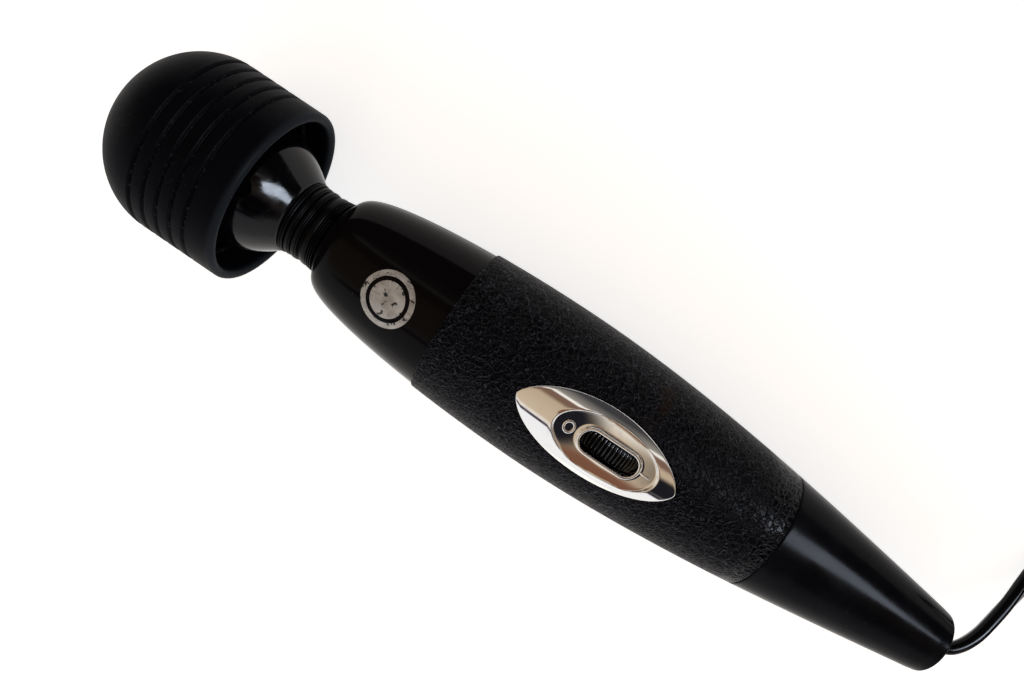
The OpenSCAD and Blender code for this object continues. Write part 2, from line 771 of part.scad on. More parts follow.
module at_clamp_screws() for (side = [-1, 1])
    translate([clamp_s - clamp_l / 2, side * clamp_screw_y, 0]) children();

module clamp_screws() color("#8d8f92") wand() at_clamp_screws() {
    seat = cord_t / 2 + gap + clamp_t;
    translate([0, 0, -clamp_screw_depth]) cylinder(h = clamp_screw_depth + seat, r = clamp_screw_r);
    translate([0, 0, seat]) cylinder(h = clamp_screw_head_h, r = clamp_screw_head_r);
}

// Tapered strain relief, held in the bore of the tail and reaching a little past it
module cord_gland() color("#0e0e10") wand() turned([[0, gland_front_s], [gland_flange_r, gland_front_s],
    [gland_flange_r, gland_front_s + gland_flange_w],
    [tail_bore_r - gap, gland_front_s + gland_flange_w + 2], [tail_bore_r - gap, length],
    [cord_w / 2 + gland_end_w, length + gland_out], [0, length + gland_out]]);

module cord() color("#0e0e10") swept(curve(cord_route, cord_steps), flat_section(cord_w, cord_t), 90, 0.6);

module cord_coil() color("#0e0e10") translate([coil_x, coil_y, coil_base]) rotate_extrude()
    translate([coil_mid_r - coil_half_w, 0]) square([2 * coil_half_w, coil_h]);

module coil_ties() color("#1f1f21") for (a = tie_places) translate([coil_x, coil_y, 0]) rotate(a)
    difference() {
        translate([coil_mid_r - coil_half_w - tie_gap - tie_t, -tie_w / 2, 0])
            cube([2 * (coil_half_w + tie_gap + tie_t), tie_w, coil_h + coil_base + tie_t]);
        translate([coil_mid_r - coil_half_w - tie_gap, -tie_w, coil_base - tie_gap])
            cube([2 * (coil_half_w + tie_gap), 2 * tie_w, coil_h + 2 * tie_gap]);
    }

module cord_lead() color("#0e0e10") swept(curve(lead_route, lead_steps), flat_section(cord_w, cord_t), 0, 1);

module plug_body() color("#141416") translate([plug_x, plug_y, plug_z]) rotate([90, 0, 0]) {
    hull() {
        translate([0, 0, plug_l - 12]) linear_extrude(12) oval_block(plug_w, plug_t);
        linear_extrude(1) oval_block(plug_neck_w, plug_neck_t);
    }
    hull() {
        translate([0, 0, -plug_relief_l]) linear_extrude(1) oval_block(cord_w + 1.4, cord_t + 1.4);
        translate([0, 0, -1]) linear_extrude(1.5) oval_block(plug_neck_w - 4, plug_neck_t - 1.5);
    }
}

module oval_block(w, t) hull() for (side = [-1, 1])
    translate([side * (w - t) / 2, 0]) circle(d = t, $fn = 24);

module plug_pins() color("#cdbf98") for (side = [-1, 1])
    translate([plug_x + side * pin_spacing / 2, plug_y - plug_l, plug_z]) rotate([90, 0, 0]) {
        cylinder(h = pin_l - 1, r = pin_r);
        translate([0, 0, pin_l - 1]) cylinder(h = 1, r1 = pin_r, r2 = pin_r - 0.8);
    }

head_cap();
head_core();
bearing_plate();
head_cone();
head_screws();
front_bearing();
rear_bearing();
eccentric_shaft();
eccentric_weight();
drive_spring_front();
neck_collar_front();
bellows_front();
neck_ring();
neck_spring();
bellows_rear();
neck_lip();
drive_spring_rear();
shaft_coupling();
motor_shaft();
armature();
commutator();
motor_can();
motor_magnets();
motor_end_cap();
motor_mounts();
top_shell();
bottom_shell();
shell_screws();
sleeve();
badge();
bezel();
thumbwheel();
wheel_axle();
wheel_bracket();
potentiometer();
circuit_board();
capacitor();
transistor();
heat_sink();
wires();
cord_inner();
cord_clamp();
clamp_screws();
cord_gland();
cord();
cord_coil();
coil_ties();
cord_lead();
plug_body();
plug_pins();
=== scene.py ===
"""Looks of a corded wand massager: rubber head on a sprung neck, leather-look handle with a chromed
thumbwheel switch, flat cord and two-pin plug. Pieces of the wand are drawn along its own axis."""

import json
import math

import bmesh
import bpy
from mathutils import Matrix, Vector


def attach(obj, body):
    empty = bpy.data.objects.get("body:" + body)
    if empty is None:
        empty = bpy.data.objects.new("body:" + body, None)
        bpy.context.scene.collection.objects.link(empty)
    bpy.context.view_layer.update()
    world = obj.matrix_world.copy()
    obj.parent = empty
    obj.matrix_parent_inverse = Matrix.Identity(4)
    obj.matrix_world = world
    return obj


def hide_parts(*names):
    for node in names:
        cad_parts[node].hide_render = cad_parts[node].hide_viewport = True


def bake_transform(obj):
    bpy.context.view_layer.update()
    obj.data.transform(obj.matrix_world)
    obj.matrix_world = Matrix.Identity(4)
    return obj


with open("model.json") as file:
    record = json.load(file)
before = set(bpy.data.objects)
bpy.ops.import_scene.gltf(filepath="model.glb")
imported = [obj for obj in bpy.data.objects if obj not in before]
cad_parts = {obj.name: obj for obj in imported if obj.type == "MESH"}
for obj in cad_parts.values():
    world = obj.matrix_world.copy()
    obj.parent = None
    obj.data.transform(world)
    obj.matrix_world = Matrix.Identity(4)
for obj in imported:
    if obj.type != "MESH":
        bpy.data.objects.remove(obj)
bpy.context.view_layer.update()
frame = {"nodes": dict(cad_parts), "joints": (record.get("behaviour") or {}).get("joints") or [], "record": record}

# ------------------------------------------------------------------------------------------------
# Sizes in millimetres, as in the CAD, and angles in degrees. A place named s is measured from the tip
# of the head. The cord's length is in metres.

HEAD_R = 28.5
DOME_H = 24.5
RIM_S = 51.7
CAP_WALL = 2.9
GROOVE_S = 24
GROOVE_PITCH = 4.55
GROOVE_COUNT = 5
GROOVE_W = 1.5
GROOVE_DEPTH = 0.9
BEAD_S = 41
BEAD_H = 1.1
FLANGE_S = 38.1
FLANGE_T = 1.9
CONE_R = 19.4
CONE_CURVE_S = 45
CONE_END_R = 12
CONE_WALL = 2.2
NECK_BORE_R = 8.2
SCREW_S = 48.5
SCREW_ANGLE = 8
SCREW_RECESS_R = 2.6
SCREW_SEAT_R = 15.8
SCREW_COUNT = 3
NECK_FRONT_S = 60.5
NOSE_S = 74.2
PIVOT_S = (NECK_FRONT_S + NOSE_S) / 2
BELLOWS_IN_R = 8.8
NECK_LIP_R = 12.8
LENGTH = 279
NOSE_R = 12.6
NOSE_BORE_R = 9.8
BELLY_R = 24
TAIL_R = 9.6
BELLY_S = 150
NOSE_POWER = 0.4
TAIL_POWER = 0.93
END_ROUND = 0.9
SHELL_WALL = 2.2
PARTING_DROP = 0.013
SLEEVE_STEP = 0.5
SLEEVE_WALL = 1.2
SLEEVE_FRONT_S = 115.6
SLEEVE_REAR_S = 222
BEZEL_L = 49.4
BEZEL_W = 21.4
BEZEL_S = 166.7
BEZEL_GAP = 0.3
CROWN_R = 14.3
CROWN_BULGE = 1.9
BEZEL_EDGE = 0.2
DISH_L = 31.2
DISH_W = 16.6
DISH_S = 169.7
DISH_Z = 23.25
BOWL_DEPTH = 1
BOWL_SIDE = 0.7
BOWL_FRONT = 1.5
DISH_TILT = 0.9
SLOT_L = 17
SLOT_W = 6.4
SLOT_RIM = 0.9
SLOT_RIM_Z = 23.75
SLOT_RIM_TILT = 2.6
WHEEL_S = 170.9
WHEEL_R = 12.5
WHEEL_W = 5.6
WHEEL_Z = 10.9
WHEEL_RIBS = 64
WHEEL_RIB_DEPTH = 0.8
WHEEL_RIB_IN_R = 11.4
AXLE_R = 1.55
OFF_S = 158.4
ON_S = 182.1
MARK_S = 99.5
MARK_DISC_R = 5.2
MARK_RING_IN_R = 6.4
MARK_RING_R = 8
FOIL_LIFT = 0.07
FOIL_SINK = 0.1
TAIL_BORE_R = 4.6
GLAND_FRONT_S = 258
GLAND_OUT = 2
CORD_W = 5.8
CORD_T = 3.6
CORD_DIP = 0.22
CORD_TURN = 120
CORD_LEVEL_SHARE = 0.66
COIL_X = 219
COIL_Y = 20.5
COIL_BASE = 0.6
COIL_RADII = (38, 32, 26)
COIL_LAYER_H = 3.7
COIL_LAYERS = 3
COIL_STEADY = 0.8
COIL_SINK = 0.05
COIL_TOP = COIL_BASE + COIL_LAYER_H * COIL_LAYERS
TIE_PLACES = (200, 20)
TIE_W = 5
TIE_T = 0.28
TIE_BASE = 0.25
TIE_GAP = 0.35
PLUG_X = 239
PLUG_Y = 23.5
PLUG_L = 34
PLUG_W = 35
PLUG_T = 13.7
PLUG_RELIEF_L = 9
PLUG_RIDGES = 7
RELIEF_RIBS = 6
PIN_R = 2
PIN_L = 19
PIN_SPACING = 18.6
CUTTER_TOP = 40
FINE_SEGMENTS = 192
OVAL_SIDES = 96
SEAM_TURN = 0.5

MM = 0.001
ROW = Matrix.Scale(MM, 4)
joints = {j["name"]: j for j in frame["joints"]}
along = Vector(joints["motor_spin"]["axis"]).normalized()
across = Vector((0, 1, 0))
above = along.cross(across)
tip = Vector(joints["neck_nod"]["pos_m"]) - along * PIVOT_S * MM
WAND = Matrix.Translation(tip) @ Matrix((along, across, above)).transposed().to_4x4() @ ROW


def sin(degrees):
    return math.sin(math.radians(degrees))


def cos(degrees):
    return math.cos(math.radians(degrees))


def add_object(name, data):
    new = bpy.data.objects.new(name, data)
    bpy.context.scene.collection.objects.link(new)
    return new


def skin_r(s):
    """Radius of the handle over the sleeve at place s."""
    if s < BELLY_S:
        rise = sin(90 * (s - NOSE_S) / (BELLY_S - NOSE_S)) ** NOSE_POWER
        return NOSE_R + SLEEVE_STEP + (BELLY_R - NOSE_R - SLEEVE_STEP) * rise
    fall = (1 - cos(90 * (s - BELLY_S) / (LENGTH - BELLY_S))) ** TAIL_POWER
    return BELLY_R - (BELLY_R - TAIL_R) * fall


def cone_r(s):
    return CONE_END_R + (CONE_R - CONE_END_R) * cos(90 * (s - CONE_CURVE_S) / (NECK_FRONT_S - CONE_CURVE_S))


# ------------------------------------------------------------------------------------------------
# Camera


def aim(position, target, up):
    back = (position - target).normalized()
    right = up.cross(back).normalized()
    axes = Matrix((right, back.cross(right), back)).transposed().to_4x4()
    return Matrix.Translation(position) @ axes


CAMERA_AT = Vector((0.0109, 0.0619, 0.2404))
CAMERA_TARGET = Vector((-0.0066, 0.0057, 0.03))
CAMERA_UP = Vector((-0.5665, 0.8066, -0.1687))
LENS = 27.06

camera = add_object("camera", bpy.data.cameras.new("camera"))
camera.matrix_world = aim(CAMERA_AT, CAMERA_TARGET, CAMERA_UP)
camera.data.lens = LENS
camera.data.clip_start = 0.01
bpy.context.scene.camera = camera

# ------------------------------------------------------------------------------------------------
# Mesh tools


def make(name, points, faces, place=WAND, crease=32, body=None, skin=None, node=()):
    """One mesh piece. points are in the units of place. An edge stays sharp from the angle crease on."""
    mesh = bpy.data.meshes.new(name)
    mesh.from_pydata([tuple(p) for p in points], [], faces)
    mesh.transform(place)
    work = bmesh.new()
    work.from_mesh(mesh)
    bmesh.ops.remove_doubles(work, verts=work.verts, dist=1e-7)
    bmesh.ops.recalc_face_normals(work, faces=work.faces)
    work.to_mesh(mesh)
    work.free()
    mesh.validate()
    mesh.shade_smooth()
    mesh.set_sharp_from_angle(angle=math.radians(crease))
    piece = add_object(name, mesh)
    if body:
        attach(piece, body)
    if node:
        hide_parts(*node)
    if skin:
        paint(piece, skin)
    return piece


def lofted(name, rings, joined=False, wrap=True, **more):
    """Skin over rings of points, with its ends capped or joined. Without wrap each ring stays open."""
    total, count = len(rings), len(rings[0])
    faces = []
    for i in range(total if joined else total - 1):
        this, after = i * count, (i + 1) % total * count
        for k in range(count if wrap else count - 1):
            beside = (k + 1) % count
            faces.append((this + k, this + beside, after + beside, after + k))
    if not joined:
        faces += [tuple(range(count)), tuple(range((total - 1) * count, total * count))]
    return make(name, [point for ring in rings for point in ring], faces, **more)


def rounded(corners, steps=6):
    """Outline with rounded corners. A corner is (s, r) or (s, r, rounding)."""
    outline = []
    for i, corner in enumerate(corners):
        point = Vector(corner[:2])
        if len(corner) == 2 or i in (0, len(corners) - 1):
            outline.append(point)
            continue
        before = Vector(corners[i - 1][:2]) - point
        after = Vector(corners[i + 1][:2]) - point
        start = point + before.normalized() * min(corner[2], before.length * 0.48)
        end = point + after.normalized() * min(corner[2], after.length * 0.48)
        for k in range(steps + 1):
            t = k / steps
            outline.append(start * (1 - t) ** 2 + point * 2 * t * (1 - t) + end * t * t)
    return outline


def turned(name, outline, segments=160, closed=True, **more):
    """Piece of revolution about the wand's axis. outline is a list of (s, r); closed joins its two ends."""
    rings = []
    for k in range(segments):
        c, d = cos(360 * k / segments + SEAM_TURN), sin(360 * k / segments + SEAM_TURN)
        rings.append([(s, r * c, r * d) for s, r in outline])
    return lofted(name, rings, joined=True, wrap=closed, **more)


def arc(centre_s, centre_r, radius, start, end, steps):
    """Points of an arc in the plane (s, r), from angle start to angle end, 0 being +s and 90 being +r."""
    angles = [start + (end - start) * k / steps for k in range(steps + 1)]
    return [Vector((centre_s + radius * cos(a), centre_r + radius * sin(a))) for a in angles]


def cut(piece, cutters):
    """Cuts holes with temporary pieces."""
    for cutter in cutters:
        step = piece.modifiers.new("hole", "BOOLEAN")
        step.operation = "DIFFERENCE"
        step.solver = "EXACT"
        step.object = cutter
    bpy.context.view_layer.update()
    done = bpy.data.meshes.new_from_object(piece.evaluated_get(bpy.context.evaluated_depsgraph_get()))
    piece.modifiers.clear()
    done.name = piece.name
    piece.data = done
    for cutter in cutters:
        bpy.data.objects.remove(cutter)


# ------------------------------------------------------------------------------------------------
# Materials


class Nodes:
    """Short way to write a node tree. A value is a number, a tuple or the output of another node."""

    def __init__(self, tree):
        self.tree = tree

    def link(self, value, socket):
        if isinstance(value, bpy.types.NodeSocket):
            self.tree.links.new(value, socket)
        else:
            socket.default_value = value

    def add(self, kind, inputs=None, **settings):
        node = self.tree.nodes.new(kind)
        for name, value in settings.items():
            setattr(node, name, value)
        for name, value in (inputs or {}).items():
            self.link(value, node.inputs[name])
        return node

    def ramp(self, value, low, high, to_low=0.0, to_high=1.0, kind="SMOOTHSTEP"):
        inputs = {"Value": value, "From Min": low, "From Max": high, "To Min": to_low, "To Max": to_high}
        return self.add("ShaderNodeMapRange", inputs, interpolation_type=kind).outputs["Result"]

    def math(self, operation, a, b=0.0):
        return self.add("ShaderNodeMath", {0: a, 1: b}, operation=operation).outputs["Value"]

    def times(self, a, b):
        return self.math("MULTIPLY", a, b)

    def vector(self, operation, a, b, output="Vector"):
        return self.add("ShaderNodeVectorMath", {0: a, 1: b}, operation=operation).outputs[output]

    def mix(self, factor, a, b):
        a, b = ((*c, 1) if isinstance(c, tuple) else c for c in (a, b))
        inputs = {"Factor": factor, "A": a, "B": b}
        return self.add("ShaderNodeMix", inputs, data_type="RGBA").outputs["Result"]


class Finish(Nodes):
    """Nodes of a material, round its shader."""

    def __init__(self, name, colour, roughness, metallic=0.0, specular=0.5):
        self.material = bpy.data.materials.new(name)
        self.material.use_nodes = True
        super().__init__(self.material.node_tree)
        self.shader = self.tree.nodes["Principled BSDF"]
        self.set("Base Color", (*colour, 1))
        self.set("Roughness", roughness)
        self.set("Metallic", metallic)
        self.set("Specular IOR Level", specular)
        self.place = self.add("ShaderNodeTexCoord").outputs["Object"]

    def set(self, name, value):
        self.link(value, self.shader.inputs[name])

    def noise(self, scale, detail=3.0, roughness=0.5, distortion=0.0, at=None, output="Fac"):
        inputs = {"Vector": at or self.place, "Scale": scale, "Detail": detail}
        inputs.update({"Roughness": roughness, "Distortion": distortion})
        return self.add("ShaderNodeTexNoise", inputs).outputs[output]

    def cells(self, scale, at=None, feature="F1"):
        """Distance to the middles of irregular cells."""
        inputs = {"Vector": at or self.place, "Scale": scale}
        return self.add("ShaderNodeTexVoronoi", inputs, feature=feature).outputs["Distance"]

    def edges(self, scale, at):
        """Distance to the borders of irregular cells."""
        return self.cells(scale, at, "DISTANCE_TO_EDGE")

    def shifted(self, amount, scale):
        """The place, shaken by a noise of that scale, in metres."""
        shake = self.vector("SUBTRACT", self.noise(scale, 2.0, output="Color"), (0.5, 0.5, 0.5))
        size = self.add("ShaderNodeVectorMath", {0: shake, "Scale": amount}, operation="SCALE")
        return self.vector("ADD", self.place, size.outputs["Vector"])

    def stretched(self, scale):
        return self.vector("MULTIPLY", self.place, scale)

    def distance_along(self):
        """Place along the wand's axis, in millimetres from the tip."""
        return self.vector("DOT_PRODUCT", self.vector("SUBTRACT", self.place, tip), along / MM, "Value")

    def dust(self, scale, amount):
        """Small scattered specks, 0 to 1."""
        speck = self.ramp(self.cells(scale), 0.05, 0.16, 1.0, 0.0)
        here = self.ramp(self.noise(scale / 6, 2.0), 0.72 - amount, 0.8 - amount)
        return self.times(speck, here)

    def dusty(self, colour, dust, share=0.5, pale=(0.06, 0.06, 0.065)):
        """Sets the colour, with pale dust over it."""
        self.set("Base Color", self.mix(self.times(dust, share), colour, pale))

    def bump(self, height, depth, strength=1.0, normal=None):
        inputs = {"Height": height, "Distance": depth, "Strength": strength}
        if normal:
            inputs["Normal"] = normal
        return self.add("ShaderNodeBump", inputs).outputs["Normal"]


made = {}


def material(name):
    if name not in made:
        made[name] = MATERIALS[name](name).material
    return made[name]


def paint(piece, name, *others):
    piece.data.materials.clear()
    for one in (name, *others):
        piece.data.materials.append(material(one))


def cap_rubber(name):
    """Matte black rubber with a cloudy worn sheen, lint in its grooves and a painted highlight on the rim lip."""
    m = Finish(name, (0.0025, 0.0025, 0.003), 0.5, specular=0.03)
    s = m.distance_along()
    clouds = m.noise(70, 5.0, 0.62)
    # rim: band at the rim lip, which carries the painted highlight below
    rim = m.ramp(s, RIM_S - 2.6, RIM_S - 0.6)
    worn = m.times(m.ramp(s, 20, 6), m.ramp(clouds, 0.42, 0.62))
    turn = m.math("FRACT", m.math("DIVIDE", m.math("SUBTRACT", s, GROOVE_S - GROOVE_PITCH / 2), GROOVE_PITCH))
    off = m.math("ABSOLUTE", m.math("SUBTRACT", turn, 0.5))
    ribbed = m.times(m.ramp(s, GROOVE_S - 2, GROOVE_S - 1), m.ramp(s, 43.5, 44.5, 1.0, 0.0))
    groove = m.times(m.ramp(off, 0.1, 0.19, 1.0, 0.0), ribbed)
    lint = m.ramp(m.noise(900, 3.0, 0.7), 0.56, 0.66)
    dust = m.math("MAXIMUM", m.dust(900, 0.16), m.times(groove, m.times(lint, 0.8)))
    colour = m.mix(m.ramp(clouds, 0.3, 0.75), (0.0011, 0.0012, 0.0030), (0.0024, 0.0026, 0.0056))
    colour = m.mix(m.times(worn, 0.6), colour, (0.008, 0.009, 0.011))
    # Painted highlight: the rim lip is made paler, as where it catches the light.
    colour = m.mix(m.times(rim, 0.8), colour, (0.017, 0.022, 0.029))
    m.dusty(colour, dust, 0.6, (0.06, 0.06, 0.07))
    m.set("Roughness", m.ramp(clouds, 0.25, 0.75, 0.42, 0.56))
    fine = m.noise(2600, 3.0)
    m.set("Normal", m.bump(fine, 0.00004, 0.6, m.bump(clouds, 0.0004, 0.25)))
    return m


def gloss_black(name):
    """Glossy moulded plastic with a few specks of dust and hair scratches."""
    black = (0.0044, 0.0036, 0.0040)
    m = Finish(name, black, 0.09, specular=0.055)
    dust = m.dust(520, 0.1)
    scratch = m.ramp(m.noise(60, 1.0, 0.4, 1.5, at=m.stretched((1, 14, 14))), 0.498, 0.502)
    smear = m.noise(28, 4.0, 0.6)
    m.dusty(black, dust)
    m.set("Roughness", m.math("ADD", m.ramp(smear, 0.3, 0.75, 0.07, 0.15), m.times(dust, 0.4)))
    wave = m.bump(m.noise(45, 2.0), 0.0005, 0.08)
    m.set("Normal", m.bump(scratch, 0.00001, 0.12, wave))
    return m


def cone_black(name):
    """The same plastic under the head: a soft smeared gloss."""
    m = Finish(name, (0.002, 0.002, 0.0026), 0.18, specular=0.2)
    smear = m.noise(150, 5.0, 0.66, 0.8)
    dust = m.dust(1100, 0.2)
    colour = m.mix(m.ramp(smear, 0.35, 0.75), (0.0016, 0.0017, 0.0026), (0.004, 0.0045, 0.0068))
    m.dusty(colour, dust)
    m.set("Roughness", m.ramp(smear, 0.3, 0.7, 0.05, 0.2))
    m.set("Normal", m.bump(m.noise(240, 3.0), 0.0001, 0.35))
    return m


def tail_black(name):
    """The same plastic where it is handled: duller, dusty and finely marked."""
    m = Finish(name, (0.005, 0.005, 0.0065), 0.2, specular=0.03)
    dust = m.dust(620, 0.17)
    fog = m.noise(55, 5.0, 0.65)
    colour = m.mix(m.ramp(fog, 0.35, 0.75), (0.0042, 0.0042, 0.0062), (0.0086, 0.0086, 0.0120))
    m.dusty(colour, dust)
    m.set("Roughness", m.math("ADD", m.ramp(fog, 0.3, 0.7, 0.11, 0.22), m.times(dust, 0.3)))
    m.set("Normal", m.bump(m.noise(1500, 2.0), 0.00002, 0.35))
    return m


def neck_rubber(name):
    black = (0.002, 0.002, 0.0025)
    m = Finish(name, black, 0.33, specular=0.07)
    fog = m.noise(160, 4.0, 0.6)
    dust = m.dust(1200, 0.14)
    m.dusty(black, dust, pale=(0.05, 0.05, 0.055))
    m.set("Roughness", m.ramp(fog, 0.3, 0.7, 0.27, 0.46))
    m.set("Normal", m.bump(m.noise(1400, 3.0), 0.00005, 0.4))
    return m


def leatherette(name):
    """Black leather-look vinyl: a net of fine raised branching creases with painted highlight and painted shade on
    their sides, brown patches of painted warm reflection, a shiny rear edge.
    """
    m = Finish(name, (0.003, 0.003, 0.004), 0.38, specular=0.035)

    def creases(offset):
        at = m.vector("ADD", m.shifted(0.0024, 450), offset)
        wide = m.ramp(m.edges(400, at), 0.0, 0.12, 1.0, 0.0)
        narrow = m.ramp(m.edges(640, at), 0.0, 0.14, 1.0, 0.0)
        broken = m.ramp(m.noise(400, 2.0, at=at), 0.34, 0.5)
        return m.math("MAXIMUM", m.times(wide, broken), m.times(narrow, 0.75))

    s = m.distance_along()
    height = creases((0, 0, 0))
    # Painted highlight and painted shade: the creases set against a slightly shifted copy of themselves give each
    # crease a lit side and a shaded side.
    painted_crease_light_and_shade = m.math("SUBTRACT", height, creases((0.00015, -0.00018, 0)))
    tone = m.noise(24, 4.0, 0.6)
    base = m.mix(m.ramp(tone, 0.35, 0.7), (0.0016, 0.0016, 0.0032), (0.0032, 0.0031, 0.0050))
    # Painted shade on one side of each crease.
    colour = m.mix(m.ramp(painted_crease_light_and_shade, -0.5, -0.05, 0.7, 0.0), base, (0.0004, 0.0004, 0.0006))
    # Painted highlight on the other side of each crease.
    colour = m.mix(m.ramp(painted_crease_light_and_shade, 0.04, 0.6, 0.0, 1.0), colour, (0.046, 0.046, 0.062))
    # Painted reflection of warm light: brown patches scattered over the vinyl.
    painted_warm_reflection = m.ramp(m.noise(95, 3.0, 0.55), 0.65, 0.74)
    colour = m.mix(m.times(painted_warm_reflection, 0.4), colour, (0.034, 0.015, 0.006))
    m.set("Base Color", colour)
    shiny = m.ramp(m.math("ADD", s, m.ramp(tone, 0.3, 0.7, -4.0, 4.0)), SLEEVE_REAR_S - 9, SLEEVE_REAR_S - 2)
    rough = m.ramp(shiny, 0.0, 1.0, 0.4, 0.16)
    m.set("Roughness", m.math("SUBTRACT", rough, m.times(height, 0.1)))
    grain = m.bump(m.noise(1900, 3.0), 0.00006, 0.5)
    m.set("Normal", m.bump(height, 0.0004, 1.0, m.bump(tone, 0.0008, 0.2, grain)))
    return m


def chrome(name):
    m = Finish(name, (0.90, 0.88, 0.85), 0.05, metallic=1.0)
    smear = m.noise(210, 4.0, 0.6)
    m.set("Roughness", m.ramp(smear, 0.4, 0.75, 0.035, 0.11))
    m.set("Base Color", m.mix(m.ramp(smear, 0.55, 0.8), (0.90, 0.88, 0.85), (0.80, 0.78, 0.75)))
    m.set("Normal", m.bump(m.noise(120, 1.0), 0.0002, 0.05))
    return m


def silver_foil(name):
    """Worn silver foil: scratched through to the black plastic in places."""
    m = Finish(name, (0.5, 0.48, 0.46), 0.5, metallic=0.35)
    gone = m.ramp(m.noise(420, 4.0, 0.6, at=m.shifted(0.001, 300)), 0.585, 0.62)
    hair = m.ramp(m.edges(330, m.shifted(0.002, 260)), 0.0, 0.03, 1.0, 0.0)
    hair = m.times(hair, m.ramp(m.noise(200, 2.0), 0.5, 0.6))
    lost = m.math("MAXIMUM", gone, hair)
    tone = m.noise(260, 5.0, 0.6)
    foil = m.mix(m.ramp(tone, 0.3, 0.7), (0.34, 0.32, 0.30), (0.56, 0.54, 0.51))
    m.set("Base Color", m.mix(lost, foil, (0.002, 0.002, 0.0025)))
    m.set("Metallic", m.times(m.math("SUBTRACT", 1.0, lost), 0.35))
    m.set("Roughness", m.ramp(tone, 0.3, 0.7, 0.38, 0.58))
    m.set("Normal", m.bump(lost, 0.00005, 0.5))
    return m


def cord_black(name):
    black = (0.003, 0.003, 0.0036)
    m = Finish(name, black, 0.16, specular=0.1)
    fog = m.noise(120, 3.0, 0.6)
    dust = m.dust(1000, 0.08)
    m.dusty(black, dust, pale=(0.06, 0.06, 0.06))
    m.set("Roughness", m.ramp(fog, 0.3, 0.75, 0.12, 0.24))
    m.set("Normal", m.bump(m.noise(260, 2.0), 0.00015, 0.15))
    return m


def plain(colour, roughness, metallic=0.0, grain=600, depth=0.00004, stretch=(1, 1, 1), specular=0.5):
    """A finish for the pieces inside and for small parts: mottled colour, uneven gloss and a fine grain."""

    def build(name):
        m = Finish(name, colour, roughness, metallic=metallic, specular=specular)
        at = m.stretched(stretch)
        tone = m.noise(grain / 6, 3.0, 0.55, at=at)
        darker = tuple(c * 0.72 for c in colour)
        m.set("Base Color", m.mix(m.ramp(tone, 0.3, 0.7), darker, colour))
        m.set("Roughness", m.ramp(tone, 0.25, 0.75, roughness * 0.8, min(1.0, roughness * 1.25)))
        m.set("Normal", m.bump(m.noise(grain, 3.0, at=at), depth, 0.4))
        return m

    return build


MATERIALS = {
    "cap_rubber": cap_rubber, "gloss_black": gloss_black, "cone_black": cone_black,
    "tail_black": tail_black, "neck_rubber": neck_rubber, "leatherette": leatherette,
    "chrome": chrome, "silver_foil": silver_foil, "cord_black": cord_black,
    "inner_plastic": plain((0.01, 0.01, 0.011), 0.5, specular=0.2),
    "screw_steel": plain((0.42, 0.42, 0.43), 0.32, 1.0, 900),
    "screw_black": plain((0.003, 0.003, 0.0035), 0.45, 0.0, 900, specular=0.05),
    "machined_steel": plain((0.55, 0.55, 0.56), 0.25, 1.0, 1200, stretch=(6, 1, 1)),
    "weight_steel": plain((0.2, 0.2, 0.21), 0.55, 0.9, 1500),
    "spring_steel": plain((0.4, 0.4, 0.41), 0.35, 1.0, 1500),
    "nylon": plain((0.78, 0.76, 0.69), 0.45, 0.0, 500),
    "brass": plain((0.6, 0.42, 0.15), 0.3, 1.0, 900),
    "copper": plain((0.5, 0.24, 0.12), 0.4, 0.8, 1600, stretch=(1, 8, 8)),
    "motor_steel": plain((0.4, 0.41, 0.43), 0.35, 0.9, 800),
    "magnet": plain((0.05, 0.05, 0.055), 0.7, 0.0, 1800),
    "mount_rubber": plain((0.03, 0.03, 0.03), 0.65, 0.0, 1200),
    "wheel_black": plain((0.004, 0.004, 0.0048), 0.16, 0.0, 1400, 0.00002),
    "pot_blue": plain((0.06, 0.16, 0.3), 0.4, 0.0, 700),
    "board_green": plain((0.03, 0.15, 0.06), 0.3, 0.0, 500),
    "capacitor_orange": plain((0.6, 0.2, 0.03), 0.25, 0.0, 300),
    "aluminium": plain((0.7, 0.7, 0.72), 0.35, 1.0, 900, stretch=(1, 1, 5)),
    "wire_red": plain((0.3, 0.03, 0.02), 0.35, 0.0, 500),
    "tie_black": plain((0.01, 0.01, 0.01), 0.5, 0.0, 900, specular=0.2),
    "plug_black": plain((0.006, 0.006, 0.007), 0.36, 0.0, 900, 0.00005, specular=0.2),
    "pin_metal": plain((0.78, 0.74, 0.64), 0.2, 1.0, 900, 0.00002, stretch=(1, 5, 1)),
}

for sub_part in frame["record"]["subparts"]:
    paint(frame["nodes"][sub_part["node"]], sub_part["material_slot"])

# ------------------------------------------------------------------------------------------------
# Cord: out of the tail, round in a coil, and up to the plug

CORD_ROUTE = [
    (141.4, 0, 18.8), (142.4, 0.05, 18.75), (145, 1.6, 18.4), (147.4, 4.6, 17.4), (149.4, 8.6, 15.7),
    (150.8, 13, 13.6), (152, 17.5, 11.4), (153.1, 22, 9.2), (154.1, 26.5, 7), (155.2, 31.5, 4.9),
    (157, 37, 3.2), (160.5, 42.8, 2.2), (166, 48.2, 1.8), (173.5, 52.6, 1.8), (183, 55.8, 1.9),
    (194, 57.7, 2.2), (206, 58.4, 2.4), (219, 58.5, 2.4),
]
LEAD_ROUTE = [
    (219, 52.5, 13.6), (224.2, 51.8, 14.2), (230.5, 48.9, 15.3), (235.4, 44, 16.7), (238.3, 37.7, 18),
    (239, 34.2, 18.5), (239, 32.6, 18.65),
]


def curve(points, steps):
    """Smooth line through all the points."""
    points = [Vector(p) for p in points]
    line = []
    for i in range(len(points) - 1):
        a, b, c = points[max(i - 1, 0)], points[i], points[i + 1]
        d = points[min(i + 2, len(points) - 1)]
        for k in range(steps):
            t = k / steps
            bend = (a * 2 - b * 5 + c * 4 - d) * t ** 2
            line.append((b * 2 + (c - a) * t + bend + (b * 3 - a - c * 3 + d) * t ** 3) / 2)
    return line + [points[-1]]


